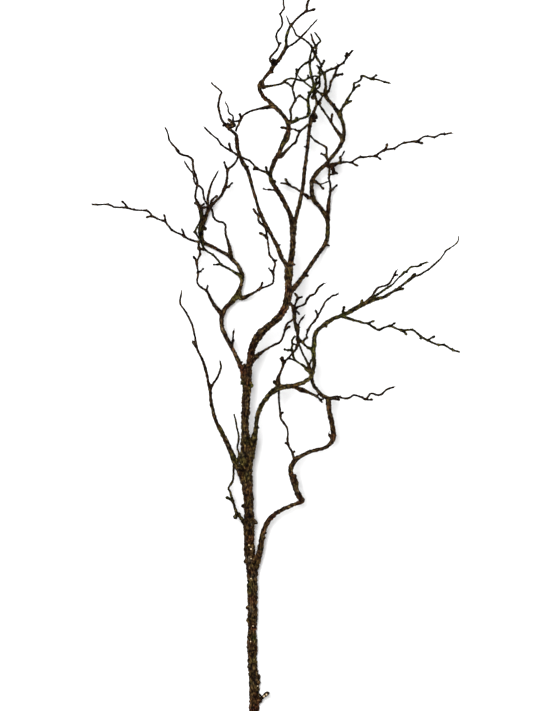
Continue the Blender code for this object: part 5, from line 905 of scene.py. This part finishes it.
def made_with(obj, tree, voxel=None, **sizes):
    """The plain mesh that the tree, and then a voxel skin if one is asked for, make of the object."""
    step = obj.modifiers.new(tree.name, "NODES")
    step.node_group = tree
    sockets = {item.name: item.identifier for item in tree.interface.items_tree if item.in_out == "INPUT"}
    for label, value in sizes.items():
        step[sockets[label.replace("_", " ")]] = value
    if voxel:
        skin = obj.modifiers.new("skin", "REMESH")
        skin.mode = "VOXEL"
        skin.voxel_size = voxel
        skin.use_smooth_shade = True
    graph = bpy.context.evaluated_depsgraph_get()
    mesh = bpy.data.meshes.new_from_object(obj.evaluated_get(graph), depsgraph=graph)
    bpy.data.objects.remove(obj)
    return mesh


def linked(obj):
    bpy.context.scene.collection.objects.link(obj)
    return obj


def curve_object(name, rows_of_lines):
    """A curve with one spline for each line."""
    curve = bpy.data.curves.new(name, "CURVE")
    curve.dimensions = "3D"
    for rows in rows_of_lines:
        spline = curve.splines.new("POLY")
        spline.points.add(len(rows) - 1)
        spline.points.foreach_set("co", np.column_stack((rows[:, :3], np.ones(len(rows)))).ravel())
        spline.points.foreach_set("radius", rows[:, 3].copy())
    return linked(bpy.data.objects.new(name, curve))


def points_of(mesh):
    points = np.empty(len(mesh.vertices) * 3)
    mesh.vertices.foreach_get("co", points)
    return points.reshape(-1, 3)


def kept_in_box(mesh):
    """No point of the mesh passes the box of the solids."""
    lowest, highest = (np.array(corner) for corner in CAD_BOX)
    mesh.vertices.foreach_set("co", np.clip(points_of(mesh), lowest, highest).ravel())


def give(mesh, name, kind, values):
    """The mesh gets these values at its points, under this name."""
    layer = mesh.attributes.new(name, kind, "POINT")
    field = {"FLOAT": "value", "FLOAT_VECTOR": "vector", "FLOAT_COLOR": "color"}[kind]
    layer.data.foreach_set(field, np.ascontiguousarray(values, np.float32).ravel())


# The skin of the wood

def wood_tree():
    """Round closed wood along each line, as thick as the line's points say."""
    tree, given, result = geometry_tree("wood along its lines", Sides=12, Least_radius=SKIN_LEAST, Bark=None)
    radius = add(tree, "GeometryNodeInputRadius").outputs[0]
    ring = add(tree, "GeometryNodeCurvePrimitiveCircle", Resolution=given.outputs["Sides"], Radius=1.0)
    wood = add(tree, "GeometryNodeCurveToMesh", Curve=given.outputs[0], Profile_Curve=ring.outputs[0],
               Scale=worked_out(tree, "MAXIMUM", radius, given.outputs["Least radius"]), Fill_Caps=True)
    return coated(tree, result, wood.outputs[0], given.outputs["Bark"])


class Wood:
    """The lines of one generation, for finding the nearest of them."""

    def __init__(self, members):
        self.rows = np.vstack([line.rows for line in members])
        self.number = np.concatenate([np.full(len(line.rows), index) for index, line in enumerate(members)])
        self.shoots = [line.shoot for line in members]
        self.tree = kdtree.KDTree(len(self.rows))
        for index, row in enumerate(self.rows[:, :3]):
            self.tree.insert(row, index)
        self.tree.balance()

    def find(self, spots):
        """Keep the number of the row that is nearest to each spot."""
        self.found = np.array([self.tree.find(spot)[1] for spot in spots])

    def closest(self, spots):
        """For each spot, the nearest row of the middle lines, read between the rows as well."""
        best = self.rows[self.found].copy()
        gap = np.linalg.norm(spots - best[:, :3], axis=1)
        for step in (-1, 1):
            other = np.clip(self.found + step, 0, len(self.rows) - 1)
            same = self.number[other] == self.number[self.found]
            start = self.rows[self.found]
            span = self.rows[other] - start
            long = np.maximum((span[:, :3] ** 2).sum(1), 1e-12)
            share = np.clip(((spots - start[:, :3]) * span[:, :3]).sum(1) / long, 0, 1) * same
            row = start + share[:, None] * span
            away = np.linalg.norm(spots - row[:, :3], axis=1)
            nearer = away < gap
            best[nearer], gap[nearer] = row[nearer], away[nearer]
        return best


def drawn_to_wood(spots, generations):
    """The spots moved onto the smooth skin that all generations share, with a small fillet at each fork."""
    for wood in generations:
        wood.find(spots)
    for _ in range(DRAW_ROUNDS):
        gaps, outs = [], []
        for wood in generations:
            row = wood.closest(spots)
            out = spots - row[:, :3]
            away = np.maximum(np.linalg.norm(out, axis=1), 1e-9)
            gaps.append(away - row[:, 3])
            outs.append(out / away[:, None])
        gaps = np.array(gaps)
        least = gaps.min(0)
        weight = np.exp((least - gaps) / FILLET)
        gap = least - FILLET * np.log(weight.sum(0))
        out = (weight[:, :, None] * np.array(outs)).sum(0)
        out /= np.linalg.norm(out, axis=1)[:, None]
        past = (spots - CUT_MIDDLE) @ CUT_FACING
        out[past > gap] = CUT_FACING
        gap = np.maximum(gap, past)
        spots = spots - np.clip(gap, -MOST_DRAW, MOST_DRAW)[:, None] * out
    return spots


# Bark

def patches(across, down, places):
    """How strong the nearest patches are at each place."""
    strength = np.zeros(len(across))
    for patch_across, patch_down, radius, most in places:
        away = (across - patch_across) ** 2 + (down - patch_down) ** 2
        strength = np.maximum(strength, most * np.exp(-away / (PATCH_SPREAD * radius) ** 2 / 2))
    return strength


def bark_facts(spots, generations):
    """For each spot: a coordinate that runs slowly along the grain, the wood's radius, tones, and its shoot.

    The tones are how green, how rusty and how pale the bark is, and how much darker than on thick wood."""
    gaps, rows, greens, shoots = [], [], [], []
    for wood in generations:
        wood.find(spots)
        row = wood.closest(spots)
        number = wood.number[wood.found]
        gaps.append(np.linalg.norm(spots - row[:, :3], axis=1) - row[:, 3])
        rows.append(row)
        greens.append(np.array([GREEN_SHOOTS.get(name, 0.0) for name in wood.shoots])[number])
        shoots.append(np.array([SHOOT_NUMBERS[name] for name in wood.shoots])[number])
    gaps, rows, greens, shoots = map(np.array, (gaps, rows, greens, shoots))
    own = gaps.argmin(0), np.arange(len(spots))
    row = rows[own]
    share = np.exp((gaps.min(0) - gaps) / SHOOT_BLEND)
    green = (share * greens).sum(0) / share.sum(0)
    radius = (share * rows[:, :, 3]).sum(0) / share.sum(0)
    grain = spots - row[:, :3] + row[:, 4:5] * ALONG_GRAIN
    across, down = photo_place(spots)
    green = np.maximum(green, patches(across, down, GREEN))
    darker = thinness(radius) + DARK_DEPTH * patches(across, down, DARK)
    tones = np.column_stack((green, patches(across, down, RUST), patches(across, down, PALE), darker))
    return grain, radius, tones, shoots[own]


def relief_tree():
    """Lumps and ridges of the bark. The ridges run along the grain, and both are deeper on thicker wood."""
    tree, given, result = geometry_tree("bark relief", Lump_size=0.0042, Lump_depth=0.34, Ridge_size=0.0022,
                                        Ridge_depth=0.12, Seed=3.0, Bark=None)
    grain, crust = (
        add(tree, "GeometryNodeInputNamedAttribute", {"data_type": kind}, Name=name).outputs[0]
        for name, kind in (("grain", "FLOAT_VECTOR"), ("crust", "FLOAT")))
    place = add(tree, "GeometryNodeInputPosition").outputs[0]
    depths = []
    for label, spot, detail in (("Lump", place, 4.0), ("Ridge", grain, 2.0)):
        scale = worked_out(tree, "DIVIDE", 1.0, given.outputs[label + " size"])
        rough = noise(tree, spot, scale, detail, 0.55, given.outputs["Seed"])
        rough = spread(tree, rough, 0.25, 0.75, -1.0, 1.0, clamp=False)
        depths.append(worked_out(tree, "MULTIPLY", rough, given.outputs[label + " depth"]))
    both = worked_out(tree, "ADD", *depths)
    # The bark height is also kept for the bark material, which paints shade in the hollows and highlight on the
    # lumps from it
    kept = add(tree, "GeometryNodeStoreNamedAttribute", {"data_type": "FLOAT", "domain": "POINT"},
               Geometry=given.outputs[0], Name="bark_height", Value=both)
    normal = add(tree, "GeometryNodeInputNormal").outputs[0]
    out = scaled(tree, normal, worked_out(tree, "MULTIPLY", both, crust))
    moved = add(tree, "GeometryNodeSetPosition", Geometry=kept.outputs[0], Offset=out)
    return coated(tree, result, moved.outputs[0], given.outputs["Bark"])


def bark_material():
    """Dried willow bark: thin and crusted, wrinkled along the grain and matt, with painted shade that makes it
    nearly black in its hollows and painted highlight on its lumps.
    """
    bark, tree, shader = material_named("dried_willow_bark", specular=0.04)
    grain = add(tree, "ShaderNodeAttribute", {"attribute_name": "grain"}).outputs["Vector"]
    given = add(tree, "ShaderNodeAttribute", {"attribute_name": "tones"})
    green, rusty, pale = add(tree, "ShaderNodeSeparateColor", Color=given.outputs["Color"]).outputs[:3]
    # The bark height, used below for painted shade in the hollows and painted highlight on the lumps
    height = add(tree, "ShaderNodeAttribute", {"attribute_name": "bark_height"}).outputs["Fac"]
    place = add(tree, "ShaderNodeTexCoord").outputs["Object"]

    # How light each place is: specks and blotches, with painted highlight on lumps and painted shade in
    # hollows, and darker on thin wood
    specks = noise(tree, grain, 1 / SPECK_SIZE, 5.0, 0.65)
    blotches = noise(tree, place, 1 / BLOTCH_SIZE, 3.0, 0.6)
    level = worked_out(tree, "ADD", spread(tree, specks, 0.25, 0.75, -0.34, 0.3),
                       spread(tree, blotches, 0.25, 0.75, 0.34, 0.63))
    # Painted shade and highlight: the bark height darkens the hollows and lightens the lumps
    level = worked_out(tree, "ADD", level, worked_out(tree, "MULTIPLY", height, 0.6))
    level = worked_out(tree, "SUBTRACT", level, worked_out(tree, "MULTIPLY", given.outputs["Alpha"], 0.1))
    tones = {name: ramp(tree, level, tuple(zip(BARK_LEVELS, colours))) for name, colours in BARK_TONES.items()}

    # Grey, rust and olive lie over brown, in loose fields of their own and where the bark has patches
    colour = tones["brown"]
    over = (("grey", None, 0.7), ("rust", rusty, 0.5), ("olive", green, 0.25))
    for number, (name, share, most) in enumerate(over):
        field = noise(tree, place, 1 / TONE_SIZE, 3.0, 0.6, 4.0 * number)
        field = spread(tree, field, 0.52, 0.64, 0.0, most)
        if share:
            ragged = worked_out(tree, "MULTIPLY", share, spread(tree, specks, 0.3, 0.6, 0.5, 1.3))
            field = worked_out(tree, "MAXIMUM", field, ragged)
        colour = mixed(tree, field, colour, tones[name])
    colour = mixed(tree, spread(tree, pale, 0.45, 0.75), colour, linear("#dcc4a0"))
    tree.links.new(colour, shader.inputs["Base Color"])
    tree.links.new(spread(tree, specks, 0.3, 0.7, 0.85, 0.6), shader.inputs["Roughness"])
    bump = add(tree, "ShaderNodeBump", Strength=0.7, Distance=CRACK_DEPTH,
               Height=noise(tree, grain, 1 / CRACK_SIZE, 3.0, 0.6))
    tree.links.new(bump.outputs[0], shader.inputs["Normal"])
    return bark


def cut_material():
    """Willow wood where the stem was cut: pale and dry, with fine rings round a small dark pith."""
    wood, tree, shader = material_named("cut_dry_willow_wood", roughness=0.8)
    place = add(tree, "ShaderNodeMapping", Vector=add(tree, "ShaderNodeTexCoord").outputs["Object"],
                Location=tuple(-CUT_MIDDLE)).outputs[0]
    rings = add(tree, "ShaderNodeTexWave", {"wave_type": "RINGS", "rings_direction": "Y"}, Vector=place,
                Scale=1 / RING_WIDTH / 20, Distortion=1.5, Detail=2.0, Detail_Scale=2.0).outputs["Fac"]
    far = add(tree, "ShaderNodeVectorMath", {"operation": "LENGTH"}, _0=place).outputs["Value"]
    colour = ramp(tree, rings, ((0.0, "#a98a62"), (1.0, "#cdb38a")))
    colour = mixed(tree, spread(tree, far, 0.0009, 0.0013, 1.0, 0.0), colour, linear("#4a3524"))
    colour = mixed(tree, spread(tree, far, 0.0062, 0.0072), colour, linear("#6d5238"))
    tree.links.new(colour, shader.inputs["Base Color"])
    return wood


# Buds

def bud_tree():
    """Small pointed buds along a twig, in turn on one side and the other, lying close to it."""
    tree, given, result = geometry_tree("buds along twigs", Bud_spacing=0.0135, Bud_length=0.0042,
                                        Bud_width=0.0017, Seed=5, Bud_scale=None)
    level = add(tree, "GeometryNodeSetCurveNormal", {"mode": "Z_UP"}, _0=given.outputs[0])
    spots = add(tree, "GeometryNodeCurveToPoints", {"mode": "LENGTH"}, Curve=level.outputs[0],
                Length=given.outputs["Bud spacing"])

    # Which way each bud faces, and how it leans along the twig
    number = add(tree, "GeometryNodeInputIndex").outputs[0]
    side = worked_out(tree, "MULTIPLY", worked_out(tree, "MODULO", number, 2.0), math.pi)
    stray = add(tree, "FunctionNodeRandomValue", {"data_type": "FLOAT"}, _2=-0.9, _3=0.9,
                Seed=given.outputs["Seed"]).outputs[1]
    roll = worked_out(tree, "ADD", worked_out(tree, "ADD", side, math.pi / 2), stray)
    heading = spots.outputs["Rotation"]
    facing = []
    for turn in (add(tree, "ShaderNodeCombineXYZ", Z=roll).outputs[0], (0, 0.3, 0)):
        turned = add(tree, "FunctionNodeEulerToRotation", _0=turn).outputs[0]
        heading = add(tree, "FunctionNodeRotateRotation", {"rotation_space": "LOCAL"}, _0=heading,
                      _1=turned).outputs[0]
        facing.append(heading)
    out = add(tree, "FunctionNodeRotateVector", _0=(1, 0, 0), _1=facing[0]).outputs[0]
    thick = add(tree, "GeometryNodeInputRadius").outputs[0]
    rooted = add(tree, "GeometryNodeSetPosition", Geometry=spots.outputs[0],
                 Offset=scaled(tree, out, worked_out(tree, "MULTIPLY", thick, 0.75)))

    # One bud: a ball of a few faces, tapered to a point
    ball = add(tree, "GeometryNodeMeshUVSphere", Segments=6, Rings=5, Radius=0.5)
    x, y, z = add(tree, "ShaderNodeSeparateXYZ", _0=add(tree, "GeometryNodeInputPosition").outputs[0]).outputs
    taper = spread(tree, z, -0.5, 0.5, 1.25, 0.45)
    shaped = add(tree, "ShaderNodeCombineXYZ", X=worked_out(tree, "MULTIPLY", x, taper),
                 Y=worked_out(tree, "MULTIPLY", y, taper), Z=worked_out(tree, "ADD", z, 0.4))
    pointed = add(tree, "GeometryNodeSetPosition", Geometry=ball.outputs[0], Position=shaped.outputs[0])
    size = add(tree, "ShaderNodeCombineXYZ", X=given.outputs["Bud width"], Y=given.outputs["Bud width"],
               Z=given.outputs["Bud length"]).outputs[0]
    vary = add(tree, "FunctionNodeRandomValue", {"data_type": "FLOAT"}, _2=0.7, _3=1.15,
               Seed=worked_out(tree, "ADD", given.outputs["Seed"], 1.0)).outputs[1]
    buds = add(tree, "GeometryNodeInstanceOnPoints", Points=rooted.outputs[0], Instance=pointed.outputs[0],
               Rotation=facing[1], Scale=scaled(tree, size, vary))
    return coated(tree, result, buds.outputs[0], given.outputs["Bud scale"])


def bud_material():
    """Willow bud: one smooth dry scale, dark red-brown, nearly matt."""
    bud, tree, shader = material_named("dried_willow_bud_scale", roughness=0.6, specular=0.15)
    streaks = noise(tree, add(tree, "ShaderNodeTexCoord").outputs["Object"], 1 / 0.004, 3.0)
    tree.links.new(ramp(tree, streaks, ((0.35, "#0d0603"), (0.5, "#20110a"), (0.65, "#352312"))),
                   shader.inputs["Base Color"])
    return bud


# Pieces

def finished(piece):
    """The piece rides on the branch's body, stands for its solid and has its finish."""
    linked(piece)
    piece.data.shade_smooth()
    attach(piece, "root")
    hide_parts("branch")


def part_of(skin, number, numbers, name):
    """The faces of the skin that have this number, closed inside the wood."""
    bm = bmesh.new()
    bm.from_mesh(skin)
    bm.faces.ensure_lookup_table()
    bmesh.ops.delete(bm, geom=[face for face, own in zip(bm.faces, numbers) if own != number], context="FACES")
    rim = [edge for edge in bm.edges if edge.is_boundary]
    for edge in rim:
        edge.smooth = False
    bmesh.ops.holes_fill(bm, edges=rim, sides=0)
    mesh = bpy.data.meshes.new(name)
    bm.to_mesh(mesh)
    bm.free()
    for material in skin.materials:
        mesh.materials.append(material)
    return bpy.data.objects.new(name, mesh)


def corner_groups(mesh):
    """The corners of all faces, and where each face's corners start."""
    corners = np.empty(len(mesh.loops), int)
    mesh.loops.foreach_get("vertex_index", corners)
    starts = np.empty(len(mesh.polygons), int)
    mesh.polygons.foreach_get("loop_start", starts)
    return corners, starts


# The smooth skin, drawn to the lines of wood, and then its bark
lines = [line for shoot in SHOOTS.values() for line in lines_of(shoot)]
CUT_MIDDLE = lines[0].rows[0, :3]
CUT_FACING = -lines[0].rows[0, 5:]
generations = [Wood([line for line in lines if line.generation == number])
               for number in range(max(line.generation for line in lines) + 1)]
skin = made_with(curve_object("wood_lines", [line.rows for line in lines]), wood_tree(), voxel=GRAIN)
spots = drawn_to_wood(points_of(skin), generations)
skin.vertices.foreach_set("co", spots.ravel())
grain, radius, tones, shoot_number = bark_facts(spots, generations)
at_cut = (spots - CUT_MIDDLE) @ CUT_FACING > -CUT_EDGE
give(skin, "grain", "FLOAT_VECTOR", grain)
give(skin, "crust", "FLOAT", np.where(at_cut, 0, CRUST_SHARE * radius + CRUST_LEAST))
give(skin, "tones", "FLOAT_COLOR", tones)
bark = bark_material()
skin = made_with(linked(bpy.data.objects.new("branch_skin", skin)), relief_tree(), Bark=bark)
kept_in_box(skin)
skin.materials.clear()
skin.materials.append(bark)
skin.materials.append(cut_material())

# A face has the cut wood's material if all its corners are at the cut, and goes to the piece that most of
# its corners belong to
corners, starts = corner_groups(skin)
skin.polygons.foreach_set("material_index", np.minimum.reduceat(at_cut[corners], starts).astype(int))
shoot_parts = np.array([next(index for index, part in enumerate(PARTS.values()) if shoot in part)
                        for shoot in SHOOTS.values()])
marks = shoot_parts[shoot_number][corners]
numbers = np.stack([np.add.reduceat(marks == number, starts) for number in range(len(PARTS))]).argmax(0)
for number, name in enumerate(PARTS):
    finished(part_of(skin, number, numbers, name))

twigs = [line.rows for line in lines
         if np.mean(line.rows[:, 3]) < TWIG_RADIUS and line.rows[-1, 4] > TWIG_LENGTH]
stalks = curve_object("twig_lines", [rows[int(BARE_SHARE * len(rows)):] for rows in twigs])
buds = bpy.data.objects.new("buds", made_with(stalks, bud_tree(), Bud_scale=bud_material()))
kept_in_box(buds.data)
finished(buds)

# Floor, light and camera
bpy.ops.mesh.primitive_plane_add(size=FLOOR_SIZE, location=(0, 0, -FLOOR_GAP))
floor = bpy.context.object
floor.name = "floor"
matt, _, shader = material_named("pale_matt_floor", roughness=0.9)
shader.inputs["Base Color"].default_value = linear("#f6f6f6")
floor.data.materials.append(matt)

light = bpy.data.lights.new("soft_light", "AREA")
light.size = LAMP_SIZE
light.energy = LAMP_POWER
lamp = linked(bpy.data.objects.new("soft_light", light))
lamp.location = LAMP_PLACE
lamp.rotation_euler = (-lamp.location).to_track_quat("-Z", "Y").to_euler()

world = bpy.data.worlds.new("studio")
world.use_nodes = True
world.node_tree.nodes["Background"].inputs["Color"].default_value = (1, 1, 1, 1)
world.node_tree.nodes["Background"].inputs["Strength"].default_value = STUDIO_LIGHT
bpy.context.scene.world = world
bpy.context.scene.view_settings.view_transform = "Standard"

camera = bpy.data.cameras.new("camera")
camera.sensor_width = 36
camera.lens = camera.sensor_width * VIEW_DISTANCE / (PHOTO_SIZE[1] * PIXEL)
eye = linked(bpy.data.objects.new("camera", camera))
eye.location = ((PHOTO_MIDDLE[0] - ORIGIN_PIXEL[0]) * PIXEL, (ORIGIN_PIXEL[1] - PHOTO_MIDDLE[1]) * PIXEL,
                VIEW_DISTANCE)
bpy.context.scene.camera = eye
